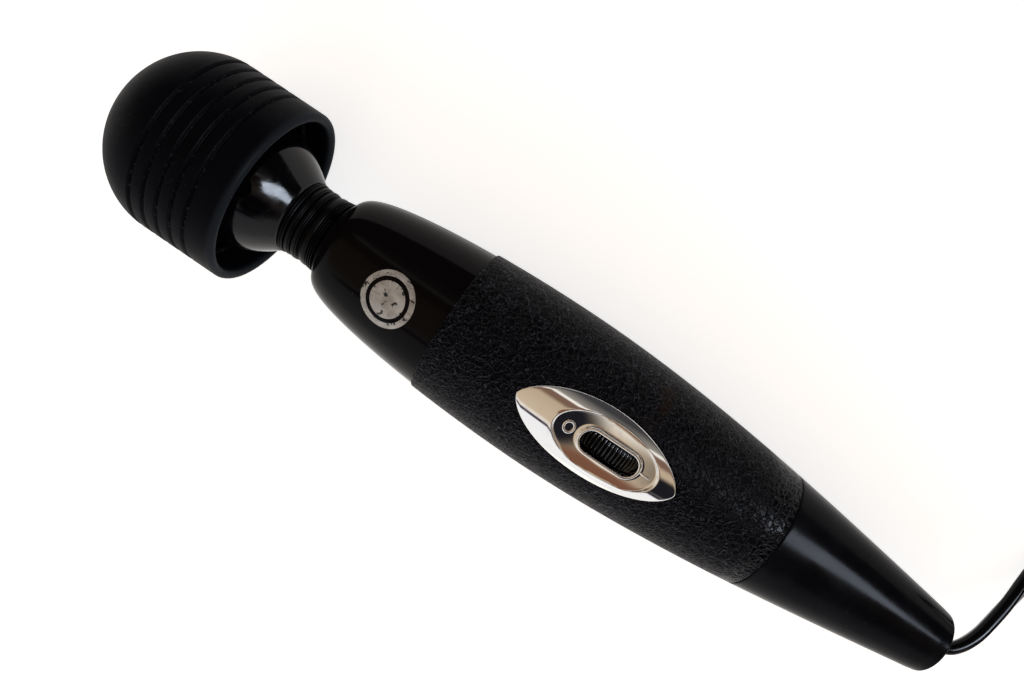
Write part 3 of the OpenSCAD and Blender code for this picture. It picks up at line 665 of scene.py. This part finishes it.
def coil_line(per_turn=60):
    """Turns that lie beside each other: inwards, outwards on top, inwards again, and up onto the last one.
    The step to the next turn is at the end of each one."""
    turns = []
    for layer in range(COIL_LAYERS):
        turns += [(r, layer) for r in (COIL_RADII if layer % 2 == 0 else COIL_RADII[::-1])]
    turns[-1] = (turns[-2][0], COIL_LAYERS)
    line = []
    for (r, layer), (next_r, next_layer) in zip(turns[:-1], turns[1:]):
        for k in range(per_turn):
            shift = max(0.0, (k / per_turn - COIL_STEADY) / (1 - COIL_STEADY))
            shift = shift * shift * (3 - 2 * shift)
            angle = 90 - 360 * k / per_turn
            radius = r + (next_r - r) * shift
            height = COIL_BASE + COIL_LAYER_H * (0.5 + layer + (next_layer - layer) * shift) - COIL_SINK
            line.append(Vector((COIL_X + radius * cos(angle), COIL_Y + radius * sin(angle), height)))
    return line


def flat_section(width, thickness):
    """Outline of a flat two-core cord: round at both sides, with a shallow dip along the middle."""
    half = (width - thickness) / 2
    outline = [(half + thickness / 2 * cos(a), thickness / 2 * sin(a)) for a in range(-75, 76, 15)]
    dip_places = (half * 0.55, half * 0.2, -half * 0.2, -half * 0.55)
    top = [(x, thickness / 2 - CORD_DIP * cos(90 * x / half)) for x in dip_places]
    other = [(-x, -y) for x, y in outline]
    bottom = [(-x, -y) for x, y in top]
    return outline + top + other + bottom


def swept(name, line, section, turn, turn_points, **more):
    """Section swept along a line. Its width starts turned by turn degrees, and is level after turn_points."""
    rings = []
    for i, point in enumerate(line):
        forward = (line[min(i + 1, len(line) - 1)] - line[max(i - 1, 0)]).normalized()
        level = forward.cross(Vector((0, 0, 1))).normalized()
        up = level.cross(forward)
        share = min(1.0, max(0.0, 2 * i / turn_points - 1))
        angle = turn + (180 - turn) * share * share * (3 - 2 * share)
        wide = level * cos(angle) + up * sin(angle)
        thick = up * cos(angle) - level * sin(angle)
        rings.append([point + wide * x + thick * y for x, y in section])
    return lofted(name, rings, place=ROW, **more)


def cord():
    first = curve(CORD_ROUTE, 6)
    line = first[:-1] + coil_line() + curve(LEAD_ROUTE, 4)
    piece = swept(
        "flat_cord", line, flat_section(CORD_W, CORD_T), CORD_TURN, int(len(first) * CORD_LEVEL_SHARE),
        body="handle", skin="cord_black", node=("cord", "cord_coil", "cord_lead"),
    )
    return piece, [p * MM for p in line]


def oval(width, thickness, step):
    """Outline of a flat section with round sides, with a point at each step in degrees."""
    half = (width - thickness) / 2
    side = [(half + thickness / 2 * cos(a), thickness / 2 * sin(a)) for a in range(-90, 91, step)]
    return side + [(-x, -z) for x, z in side]


def plug():
    """Flat moulded plug: waisted body with grip ridges, ribbed relief, sleeved pins."""
    top = COIL_TOP + 0.1 + PLUG_T / 2
    place = ROW @ Matrix.Translation((PLUG_X, PLUG_Y, top)) @ Matrix.Rotation(math.radians(90), 4, "X")
    stations = [(0, 13, 7.4), (0.8, 15, 9), (5, 17, 9.8)]
    for k in range(PLUG_RIDGES):
        y = 6.5 + k * 2.4
        share = k / (PLUG_RIDGES - 1)
        wide = 18 + 14 * share ** 1.2
        thick = 10.2 + 2.8 * share
        stations += [(y, wide, thick), (y + 0.9, wide + 0.4, thick + 0.4), (y + 1.3, wide - 1, thick - 1)]
        stations += [(y + 2.1, wide - 1, thick - 1)]
    stations += [(23.6, 34.2, 13.1), (24.6, PLUG_W, PLUG_T), (PLUG_L - 1.6, PLUG_W, PLUG_T)]
    stations += [(PLUG_L - 0.5, PLUG_W - 0.8, PLUG_T - 0.8), (PLUG_L, PLUG_W - 2.6, PLUG_T - 2.6)]
    rings = [[(x, z, y) for x, z in oval(wide, thick, 12)] for y, wide, thick in stations]
    body = lofted("plug_moulding", rings, place=place, body="handle", skin="plug_black", node=("plug_body",))
    rings = []
    for k in range(RELIEF_RIBS):
        for back, thinner in ((0, 0), (1.5, 0.04), (1.6, 0.16), (2.3, 0.18)):
            size = 1 - 0.42 * k / RELIEF_RIBS - thinner
            start = PLUG_RELIEF_L * k / RELIEF_RIBS + back
            loop = oval(max(10.8 * size, CORD_W + 1.1), max(7.2 * size, CORD_T + 1.1), 18)
            rings.append([(x, z, 0.4 - start) for x, z in loop])
    neck = lofted("plug_relief", rings, place=place, body="handle", skin="plug_black")
    pieces = [body, neck]
    for side in (-1, 1):
        centre = place @ Matrix.Translation((side * PIN_SPACING / 2, 0, PLUG_L))
        turn = centre @ Matrix.Rotation(math.radians(-90), 4, "Y")
        name = "left" if side < 0 else "right"
        sleeve = rounded([(-1, 0), (-1, PIN_R), (9.6, PIN_R, 0.15), (9.6, 1.7), (9.6, 0)])
        metal = rounded([(9.6, 0), (9.6, PIN_R - 0.02, 0.1), (PIN_L - 0.1, PIN_R - 0.02, 1.2), (PIN_L, 0)])
        common = {"place": turn, "body": "handle"}
        pieces.append(turned("pin_sleeve_" + name, sleeve, 40, False, skin="plug_black", **common))
        node = ("plug_pins",) if side < 0 else ()
        pieces.append(turned("pin_" + name, metal, 40, False, skin="pin_metal", node=node, **common))
    return pieces


def coil_ties():
    """Flat ties, each a closed loop round all the turns of the coil."""
    outer = max(COIL_RADII) + CORD_W / 2 + TIE_GAP
    inner = min(COIL_RADII) - CORD_W / 2 - TIE_GAP
    top = COIL_TOP + 0.2
    middle = Vector(((inner + outer) / 2, (TIE_BASE + top) / 2))
    corners = [(inner + 1, TIE_BASE + 1, 180), (outer - 1, TIE_BASE + 1, 270)]
    corners += [(outer - 1, top - 1, 0), (inner + 1, top - 1, 90)]
    rings = []
    for centre_x, centre_z, start in corners:
        for a in range(0, 91, 15):
            x, z = centre_x + cos(start + a), centre_z + sin(start + a)
            away = (Vector((x, z)) - middle).normalized() * TIE_T
            ring = [(x, -TIE_W / 2, z), (x, TIE_W / 2, z)]
            rings.append(ring + [(x + away.x, TIE_W / 2, z + away.y), (x + away.x, -TIE_W / 2, z + away.y)])
    ties = []
    for n, place in enumerate(TIE_PLACES):
        turn = ROW @ Matrix.Translation((COIL_X, COIL_Y, 0)) @ Matrix.Rotation(math.radians(place), 4, "Z")
        node = ("coil_ties",) if n == 0 else ()
        look = {"crease": 40, "body": "handle", "skin": "tie_black"}
        ties.append(lofted(f"coil_tie_{n + 1}", rings, joined=True, place=turn, node=node, **look))
    return ties


flat_cord, cord_line = cord()
plug_pieces = plug()
tie_pieces = coil_ties()
tuple(cord_line[0])
[tuple(p) for p in cord_line]


# ------------------------------------------------------------------------------------------------
# Head


def head_cap():
    outline = [(DOME_H * (1 - cos(a)), HEAD_R * sin(a)) for a in [k * 1.5 for k in range(58)]]
    for i in range(GROOVE_COUNT):
        middle = GROOVE_S + i * GROOVE_PITCH
        floor_r = HEAD_R - GROOVE_DEPTH
        outline += [
            (middle - GROOVE_W / 2, HEAD_R, 0.3), (middle - 0.2, floor_r, 0.2),
            (middle + 0.2, floor_r, 0.2), (middle + GROOVE_W / 2, HEAD_R, 0.3),
        ]
    outline = rounded(outline, 4)
    lip = CAP_WALL / 2
    outline += [Vector((s, HEAD_R)) for s in (44.5, 46.5, 48.5, RIM_S - lip - 0.5)]
    outline += arc(RIM_S - lip, HEAD_R - lip, lip, 90, -90, 14)
    inner_r = HEAD_R - CAP_WALL
    outline += [Vector((s, inner_r)) for s in (48, 45.5, 43, BEAD_S + 0.9)]
    outline += [Vector((BEAD_S + 0.4, inner_r - BEAD_H)), Vector((BEAD_S - 0.4, inner_r - BEAD_H))]
    outline += [Vector((BEAD_S - 0.9, inner_r))]
    depth = DOME_H - CAP_WALL
    outline += [Vector((DOME_H - depth * sin(a), inner_r * cos(a))) for a in range(0, 91, 6)]
    return turned("cap", outline, FINE_SEGMENTS, False, body="head", skin="cap_rubber", node=("head_cap",))


def screw_place(i):
    turn = Matrix.Rotation(math.radians(-SCREW_ANGLE - 360 / SCREW_COUNT * i), 4, "X")
    return WAND @ Matrix.Translation((SCREW_S, 0, 0)) @ turn @ Matrix.Rotation(math.radians(-90), 4, "Y")


def head_cone():
    steps = 28
    places = [CONE_CURVE_S + (NECK_FRONT_S - 0.25 - CONE_CURVE_S) * k / steps for k in range(steps + 1)]
    outer = [Vector((s, cone_r(s))) for s in places]
    inner = [Vector((s, cone_r(s) - CONE_WALL)) for s in reversed(places) if s < NECK_FRONT_S - 3]
    rim_r = HEAD_R - CAP_WALL - 0.1
    flange_end = FLANGE_S + FLANGE_T
    outline = [Vector((FLANGE_S, rim_r)), Vector((flange_end, rim_r))]
    outline += rounded([(flange_end, rim_r - 1), (flange_end, CONE_R, 1.2), (flange_end + 3, CONE_R)])[1:]
    outline += outer + [Vector((NECK_FRONT_S, CONE_END_R - 0.25)), Vector((NECK_FRONT_S, NECK_BORE_R))]
    outline += [Vector((NECK_FRONT_S - 1.5, NECK_BORE_R))] + inner + [Vector((FLANGE_S, CONE_R - CONE_WALL))]
    piece = turned("cone", outline, FINE_SEGMENTS, body="head", skin="cone_black", node=("head_cone",))
    mouth_r = SCREW_RECESS_R + 1
    hole = [(SCREW_SEAT_R, 0), (SCREW_SEAT_R, SCREW_RECESS_R), (18, SCREW_RECESS_R)]
    hole += [(20, mouth_r), (24, mouth_r), (24, 0)]
    hole = [Vector(p) for p in hole]
    cut(piece, [turned(f"hole_{i}", hole, 48, False, place=screw_place(i)) for i in range(SCREW_COUNT)])
    return piece


# ------------------------------------------------------------------------------------------------
# Neck: collar, round ribs, a wide band, thin fins and a flared lip


def neck():
    collar = rounded([
        (60.55, BELLOWS_IN_R), (60.55, 11.6, 0.25), (61.25, 11.75, 0.2), (61.4, 11.3, 0.1),
        (61.55, 11.7, 0.2), (62.15, 11.5, 0.25), (62.15, BELLOWS_IN_R),
    ])
    turned("neck_collar", collar, body="head", skin="neck_rubber", node=("neck_collar_front",))
    corners = [(62.2, BELLOWS_IN_R), (62.2, 10.1), (62.45, 10.1, 0.15)]
    for start in (62.55, 64.95):
        corners += [
            (start, 11.35, 0.3), (start + 1.15, 11.4, 0.3), (start + 1.28, 10.95, 0.12),
            (start + 1.42, 11.3, 0.15), (start + 1.8, 11.2, 0.2), (start + 1.95, 10, 0.12),
            (start + 2.25, 10, 0.12),
        ]
    corners += [(67.3, 10), (67.3, BELLOWS_IN_R)]
    front = turned("neck_ribs_front", rounded(corners), skin="neck_rubber", node=("bellows_front",))
    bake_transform(front)
    corners = [(67.4, BELLOWS_IN_R), (67.4, 10), (67.6, 10.1, 0.15), (67.75, 11.1, 0.5), (68.9, 11.45, 0.8)]
    corners += [(70, 11.3, 0.4), (70.15, 10.2, 0.1), (70.35, 10.2, 0.1)]
    for k in range(3):
        start, r = 70.45 + 0.77 * k, 11.5 + 0.12 * k
        corners += [(start, r, 0.1), (start + 0.3, r, 0.1)]
        corners += [(start + 0.38, 10.3, 0.1), (start + 0.66, 10.3, 0.1)]
    corners += [(72.8, 10.5), (72.8, BELLOWS_IN_R)]
    rear = turned("neck_ribs_rear", rounded(corners), skin="neck_rubber", node=("bellows_rear",))
    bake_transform(rear)
    lip = rounded([
        (72.85, BELLOWS_IN_R), (72.85, 10.6), (73.15, 11, 0.2), (73.65, NECK_LIP_R, 0.15),
        (NOSE_S - 0.05, NECK_LIP_R + 0.1, 0.12), (NOSE_S - 0.05, BELLOWS_IN_R),
    ])
    turned("neck_flare", lip, body="handle", skin="neck_rubber", node=("neck_lip",))


# ------------------------------------------------------------------------------------------------
# Handle


def shell_corners():
    """Outside and inside of the shells, as lists of (s, r)."""
    outer = [Vector((NOSE_S, NOSE_BORE_R))]
    outer += [
        Vector((s, skin_r(s) - SLEEVE_STEP))
        for s in [NOSE_S + (SLEEVE_FRONT_S - NOSE_S) * (k / 44) ** 2.4 for k in range(45)]
    ]
    under = [SLEEVE_FRONT_S + 0.01 + (SLEEVE_REAR_S - SLEEVE_FRONT_S - 0.02) * k / 40 for k in range(41)]
    outer += [Vector((s, skin_r(s) - SLEEVE_WALL)) for s in under]
    edge = skin_r(SLEEVE_REAR_S)
    step = [(SLEEVE_REAR_S, edge - 1), (SLEEVE_REAR_S, edge, 0.2), (SLEEVE_REAR_S + 0.6, edge)]
    outer += rounded(step, 4)[:-1]
    tail = [SLEEVE_REAR_S + 1 + (LENGTH - END_ROUND - SLEEVE_REAR_S - 1) * k / 30 for k in range(30)]
    outer += [Vector((s, skin_r(s))) for s in tail]
    outer += arc(LENGTH - END_ROUND, TAIL_R - END_ROUND, END_ROUND, 90, 0, 10)
    outer += [Vector((LENGTH, TAIL_BORE_R + 0.2)), Vector((LENGTH - 0.2, TAIL_BORE_R))]
    wall = SLEEVE_WALL + SHELL_WALL
    inside = [Vector((LENGTH - 4, TAIL_BORE_R))]
    places = [LENGTH - 4 - (LENGTH - 7 - NOSE_S) * k / 40 for k in range(41)]
    inside += [Vector((s, max(skin_r(s) - wall + 0.5, 5))) for s in places]
    inside += [Vector((NOSE_S + 3, NOSE_BORE_R))]
    return outer, inside


def half_shell(name, side, node):
    """Upper or lower half of the handle, with its parting edges rounded off."""
    outer, inside = shell_corners()
    edge = [(0.08, 1.0), (0.12, 0.62), (0.25, 0.36), (0.5, 0.14), (0.85, 0.03), (1.3, 0.0)]
    angles = edge + [(a, 0.0) for a in range(3, 178, 2)] + [(180 - a, w) for a, w in reversed(edge)]
    start = 0 if side > 0 else 180
    rings = []
    for a, w in angles:
        drop = 1 - PARTING_DROP * w
        c, d = cos(start + a), sin(start + a)
        ring = [(s, r * drop * c, r * drop * d) for s, r in outer]
        rings.append(ring + [(s, r * c, r * d) for s, r in inside])
    piece = lofted(name, rings, body="handle", node=node)
    if side > 0:
        cut(piece, [slot_cutter()])
    paint(piece, "gloss_black", "tail_black")
    for polygon in piece.data.polygons:
        polygon.material_index = int((polygon.center - tip).dot(along) > (SLEEVE_REAR_S - 10) * MM)
    return piece


def prism(name, outline, low):
    """Upright cutter with that outline, from the height low to above the handle."""
    return lofted(name, [[(x, y, z) for x, y in outline] for z in (low, CUTTER_TOP)])


def slot_cutter():
    half_l, half_w = DISH_L / 2 - 0.5, DISH_W / 2 - 0.6
    corners = ((-1, -1), (1, -1), (1, 1), (-1, 1))
    return prism("slot_cutter", [(DISH_S + a * half_l, b * half_w) for a, b in corners], 8)


def pointed_oval(length, width, angle):
    across_share = abs(sin(angle)) ** 1.3 * (1 if sin(angle) > 0 else -1)
    return Vector((length / 2 * cos(angle), width / 2 * across_share))


def sleeve():
    steps = 53
    front, rear = SLEEVE_FRONT_S, SLEEVE_REAR_S - 0.12
    outline = [(front, skin_r(front) - SLEEVE_WALL + 0.05), (front, skin_r(front) - 0.02, 0.35)]
    places = [front + 1 + (rear - front - 2) * k / steps for k in range(steps + 1)]
    outline += [(s, skin_r(s)) for s in places]
    outline += [(rear, skin_r(rear) - 0.01, 0.3), (rear, skin_r(rear) - SLEEVE_WALL + 0.05)]
    outline = rounded(outline) + [Vector((s, skin_r(s) - SLEEVE_WALL + 0.05)) for s in reversed(places)]
    piece = turned("leatherette", outline, 224, body="handle", node=("sleeve",))
    length, width = BEZEL_L + BEZEL_GAP, BEZEL_W + BEZEL_GAP
    rim = [pointed_oval(length, width, 360 * k / OVAL_SIDES) for k in range(OVAL_SIDES)]
    cut(piece, [prism("bezel_cutter", [(BEZEL_S + p.x, p.y) for p in rim], 10)])
    paint(piece, "leatherette")
    return piece


def mark():
    """Disc in a ring, of thin foil that follows the shoulder."""

    def foil(name, inner_r, outer_r, node=()):
        circles = [(inner_r, -FOIL_SINK)] if inner_r else []
        steps = 8 if inner_r else 16
        start = inner_r or 0.001
        circles += [(start + (outer_r - start) * k / steps, FOIL_LIFT) for k in range(steps + 1)]
        rings = []
        for radius, lift in circles + [(outer_r, -FOIL_SINK)]:
            ring = []
            for k in range(OVAL_SIDES):
                angle = 360 * k / OVAL_SIDES
                s, y = MARK_S + radius * cos(angle), radius * sin(angle)
                ring.append((s, y, math.sqrt((skin_r(s) - SLEEVE_STEP) ** 2 - y * y) + lift))
            rings.append(ring)
        lofted(name, rings, joined=inner_r > 0, crease=50, body="handle", skin="silver_foil", node=node)

    foil("mark_disc", 0, MARK_DISC_R, ("badge",))
    foil("mark_ring", MARK_RING_IN_R, MARK_RING_R)


# ------------------------------------------------------------------------------------------------
# Switch


def crown_z(x, y):
    half = BEZEL_L / 2
    fall = skin_r(BEZEL_S - half) - skin_r(BEZEL_S + half)
    centre = skin_r(BEZEL_S - half) - fall / 2 + BEZEL_EDGE - CROWN_R
    radius = CROWN_R + CROWN_BULGE * (1 - ((x - BEZEL_S) / half) ** 2)
    return centre + math.sqrt(radius ** 2 - y * y) - (x - BEZEL_S) * fall / BEZEL_L


def dish_z(x, y):
    """A shallow bowl, steeper in front, that runs out into the crown at its sides."""
    tilt = (x - DISH_S) * math.tan(math.radians(DISH_TILT))
    front = min(0.0, 2 * (x - DISH_S) / DISH_L)
    bowl = DISH_Z - BOWL_DEPTH - tilt + BOWL_SIDE * (2 * y / DISH_W) ** 2 + BOWL_FRONT * front * front
    return min(bowl, crown_z(x, y) + 0.02)


def rim_z(x, y):
    return SLOT_RIM_Z - (x - WHEEL_S) * math.tan(math.radians(SLOT_RIM_TILT))


def stadium(length, width, angle):
    """Where a ray from the middle at that angle meets an outline with straight sides and round ends."""
    half, r = (length - width) / 2, width / 2
    c, d = cos(angle), sin(angle)
    if abs(d) > 1e-9 and abs(r * c / d) <= half:
        return Vector((r * c / abs(d), math.copysign(r, d)))
    reach = half * abs(c) + math.sqrt(r * r - half * half * d * d)
    return Vector((reach * c, reach * d))


def bezel():
    """Chromed frame: bulging crown, sunk oval dish, raised rim round the slot."""

    def outline(angle, inset):
        return Vector((BEZEL_S, 0)) + pointed_oval(BEZEL_L - 2 * inset, BEZEL_W - 2 * inset, angle)

    def dish(angle, inset):
        half_l, half_w = DISH_L / 2 - inset, DISH_W / 2 - inset
        return Vector((DISH_S + half_l * cos(angle), half_w * sin(angle)))

    def slot(angle, outset):
        return Vector((WHEEL_S, 0)) + stadium(SLOT_L + 2 * outset, SLOT_W + 2 * outset, angle)

    loops = [lambda a: (outline(a, 0), -1.0, "skin"), lambda a: (outline(a, 0), -0.25, "crown")]
    for inset, drop in ((0.05, 0.1), (0.15, 0.025), (0.3, 0.0)):
        loops.append(lambda a, i=inset, d=drop: (outline(a, i), -d, "crown"))
    for k in range(1, 11):
        loops.append(lambda a, t=k / 10: (outline(a, 0.3).lerp(dish(a, -0.35), t), 0.0, "crown"))
    for inset, share in ((-0.15, 0.96), (-0.04, 0.85), (0.0, 0.6), (0.03, 0.3), (0.1, 0.08), (0.3, 0.0)):
        loops.append(lambda a, i=inset, w=share: (dish(a, i), w, "step"))
    for k in range(1, 9):
        loops.append(lambda a, t=k / 8: (dish(a, 0.3).lerp(slot(a, SLOT_RIM + 0.3), t), 0.0, "dish"))
    rim = ((0.1, 0.08), (0.02, 0.35), (0.0, 0.6), (-0.04, 0.84), (-0.14, 0.96), (-0.3, 1.0))
    rim += ((-0.6, 1.0), (-0.76, 0.96), (-0.86, 0.84), (-0.9, 0.6))
    for outset, share in rim:
        loops.append(lambda a, o=outset, w=share: (slot(a, SLOT_RIM + o), w, "rim"))
    loops.append(lambda a: (slot(a, 0), -4.0, "under"))
    count = 256
    rings = []
    for loop in loops:
        ring = []
        for k in range(count):
            flat, value, kind = loop(360 * k / count)
            x, y = flat
            if kind == "skin":
                z = math.sqrt(skin_r(x) ** 2 - y * y) + value
            elif kind == "crown":
                z = crown_z(x, y) + value
            elif kind == "step":
                z = dish_z(x, y) + (crown_z(x, y) - dish_z(x, y)) * value
            elif kind == "dish":
                z = dish_z(x, y)
            elif kind == "rim":
                z = dish_z(x, y) + (rim_z(x, y) - dish_z(x, y)) * value
            else:
                z = rim_z(x, y) + value
            ring.append((x, y, z))
        rings.append(ring)
    look = {"crease": 60, "body": "handle", "skin": "chrome", "node": ("bezel",)}
    return lofted("bezel_chromed", rings, joined=True, **look)


def symbols():
    """Raised ring for off and bar for on."""
    ring_at, bar_at = Vector((OFF_S, 0)), Vector((ON_S, 0))

    def raised(name, loops, joined):
        rings = [[(x, y, dish_z(x, y) + lift) for x, y in outline] for outline, lift in loops]
        lofted(name, rings, joined, crease=60, body="handle", skin="chrome")

    def circle(radius):
        return [ring_at + Vector((radius * cos(a), radius * 1.15 * sin(a))) for a in range(0, 360, 6)]

    def bar(grow):
        return [bar_at + stadium(3.2 + 2 * grow, 0.7 + 2 * grow, a) for a in range(0, 360, 6)]

    profile = [(1.75, -0.1), (1.72, 0.1), (1.6, 0.2), (1.4, 0.23), (1.2, 0.2), (1.08, 0.1), (1.05, -0.1)]
    raised("symbol_off", [(circle(r), lift) for r, lift in profile], True)
    profile = [(0.0, -0.1), (-0.02, 0.1), (-0.1, 0.19), (-0.2, 0.22)]
    raised("symbol_on", [(bar(grow), lift) for grow, lift in profile], False)


def thumbwheel():
    """Wheel with round ribs across its rim, which is crowned."""
    half = WHEEL_W / 2
    crown = [(0.7 * k, WHEEL_R - 0.05 * k * k) for k in range(-3, 4)]
    outline = rounded([
        (-half, AXLE_R), (-half, 9), (-half + 0.3, 9.6, 0.3), (-half, 10.6, 0.2), (-half, WHEEL_R - 0.8, 0.3),
        *crown,
        (half, WHEEL_R - 0.8, 0.3), (half, 10.6, 0.2), (half - 0.3, 9.6, 0.3), (half, 9), (half, AXLE_R),
    ], 5)
    per_rib = 10
    count = WHEEL_RIBS * per_rib
    rings = []
    for k in range(count):
        sink = WHEEL_RIB_DEPTH * (1 - abs(cos(180 * k / per_rib)) ** 1.5)
        radii = [r - sink * max(0.0, min(1.0, (r - WHEEL_RIB_IN_R) / 0.5)) for y, r in outline]
        c, d = cos(360 * k / count), sin(360 * k / count)
        rings.append([(radius * c, y, radius * d) for radius, (y, r) in zip(radii, outline)])
    place = WAND @ Matrix.Translation((WHEEL_S, 0, WHEEL_Z))
    look = {"crease": 50, "body": "dial", "skin": "wheel_black", "node": ("thumbwheel",)}
    return lofted("wheel", rings, joined=True, place=place, **look)


def cord_relief():
    """Tapered strain relief in the tail, with its end ring just outside."""
    outline = rounded([
        (GLAND_FRONT_S, 0), (GLAND_FRONT_S, 6.4, 0.4), (261, 6.4, 0.4), (263, 4.5, 0.5), (LENGTH + 0.1, 4.45),
        (LENGTH + 0.9, 4.2, 0.5), (LENGTH + GLAND_OUT, CORD_W / 2 + 0.9, 0.5), (LENGTH + GLAND_OUT, 0),
    ])
    turned("cord_relief", outline, 64, False, body="handle", skin="cord_black", node=("cord_gland",))


head_cap()
head_cone()
neck()
half_shell("shell_upper", 1, ("top_shell",))
half_shell("shell_lower", -1, ("bottom_shell",))
sleeve()
mark()
bezel()
symbols()
thumbwheel()
cord_relief()

# ------------------------------------------------------------------------------------------------
# Floor and light, in metres

FLOOR_HALF = 3
FLOOR_GLOW = 0.75
LIGHT_TARGET = Vector((0.02, 0, 0.03))


def floor():
    m = Finish("floor", (0.93, 0.93, 0.93), 0.6, specular=0.2)
    m.set("Emission Color", (1, 1, 1, 1))
    m.set("Emission Strength", FLOOR_GLOW)
    m.set("Roughness", m.ramp(m.noise(12, 2.0), 0.3, 0.7, 0.55, 0.65))
    mesh = bpy.data.meshes.new("floor")
    far = FLOOR_HALF
    mesh.from_pydata([(-far, -far, 0), (far, -far, 0), (far, far, 0), (-far, far, 0)], [], [(0, 1, 2, 3)])
    mesh.materials.append(m.material)
    plane = add_object("floor", mesh)


def area_light(name, direction, distance, size, radiance, colour=(1, 1, 1)):
    """Soft panel that faces the wand from that direction."""
    light = bpy.data.lights.new(name, "AREA")
    light.shape = "RECTANGLE"
    light.size, light.size_y = size
    light.energy = radiance * math.pi * size[0] * size[1]
    light.color = colour
    panel = add_object(name, light)
    position = LIGHT_TARGET + Vector(direction).normalized() * distance
    panel.matrix_world = aim(position, LIGHT_TARGET, Vector((0, 0, 1)))
    return panel


def surroundings():
    """A room by daylight: white low down on the near side, warm ceiling, darker things behind."""
    world = bpy.data.worlds.new("room")
    bpy.context.scene.world = world
    world.use_nodes = True
    n = Nodes(world.node_tree)
    place = n.add("ShaderNodeTexCoord").outputs["Generated"]
    parts = n.add("ShaderNodeSeparateXYZ", {0: place}).outputs
    bands = n.add("ShaderNodeValToRGB", {"Fac": n.ramp(parts["Y"], -1, 1, kind="LINEAR")})
    white, brown, cream = (0.95, 0.96, 1.0), (0.2, 0.12, 0.085), (0.95, 0.92, 0.88)
    violet = (0.05, 0.03, 0.06)
    stops = [
        (0.0, white), (0.165, white), (0.18, violet), (0.2, violet), (0.225, (0.9, 0.86, 0.8)),
        (0.28, (0.62, 0.50, 0.37)), (0.6, (0.52, 0.41, 0.29)), (0.66, brown), (0.735, brown), (0.75, cream),
        (0.77, cream), (0.79, (0.3, 0.28, 0.25)), (0.9, (0.05, 0.05, 0.055)), (1.0, (0.04, 0.04, 0.045)),
    ]
    elements = bands.color_ramp.elements
    elements[0].position, elements[0].color = stops[0][0], (*stops[0][1], 1)
    elements[1].position, elements[1].color = stops[-1][0], (*stops[-1][1], 1)
    for position, colour in stops[1:-1]:
        elements.new(position).color = (*colour, 1)
    room = bands.outputs["Color"]
    spots = [
        ((0.56, -0.32, 0.76), 24, 13, (0.012, 0.012, 0.016)),
        ((0.27, 0.02, 0.96), 13, 8, (0.2, 0.09, 0.055)),
    ]
    for direction, outer, inner, colour in spots:
        near = n.vector("DOT_PRODUCT", place, Vector(direction).normalized(), "Value")
        room = n.mix(n.ramp(near, cos(outer), cos(inner)), room, colour)
    low = n.mix(n.ramp(parts["Y"], -0.25, 0.1), (0.97, 0.98, 1.0), (0.05, 0.05, 0.055))
    room = n.mix(n.ramp(parts["Z"], 0.42, 0.6), low, room)
    seen = n.add("ShaderNodeLightPath").outputs["Is Camera Ray"]
    n.link(n.mix(seen, room, (1.0, 1.0, 1.0)), n.tree.nodes["Background"].inputs["Color"])


floor()
surroundings()
window = area_light(
    "window", direction=(0.65, 0.38, 0.62), distance=1.2, size=(0.36, 0.56), radiance=32,
    colour=(0.84, 0.94, 1.1),
)
window.visible_diffuse = False
mirrors = bpy.data.collections.new("mirrors")
for mirror in ("bezel_chromed", "symbol_off", "symbol_on"):
    mirrors.objects.link(bpy.data.objects[mirror])
window.light_linking.receiver_collection = mirrors
for entry in mirrors.collection_objects:
    entry.light_linking.link_state = "EXCLUDE"
bpy.context.scene.view_settings.view_transform = "Standard"
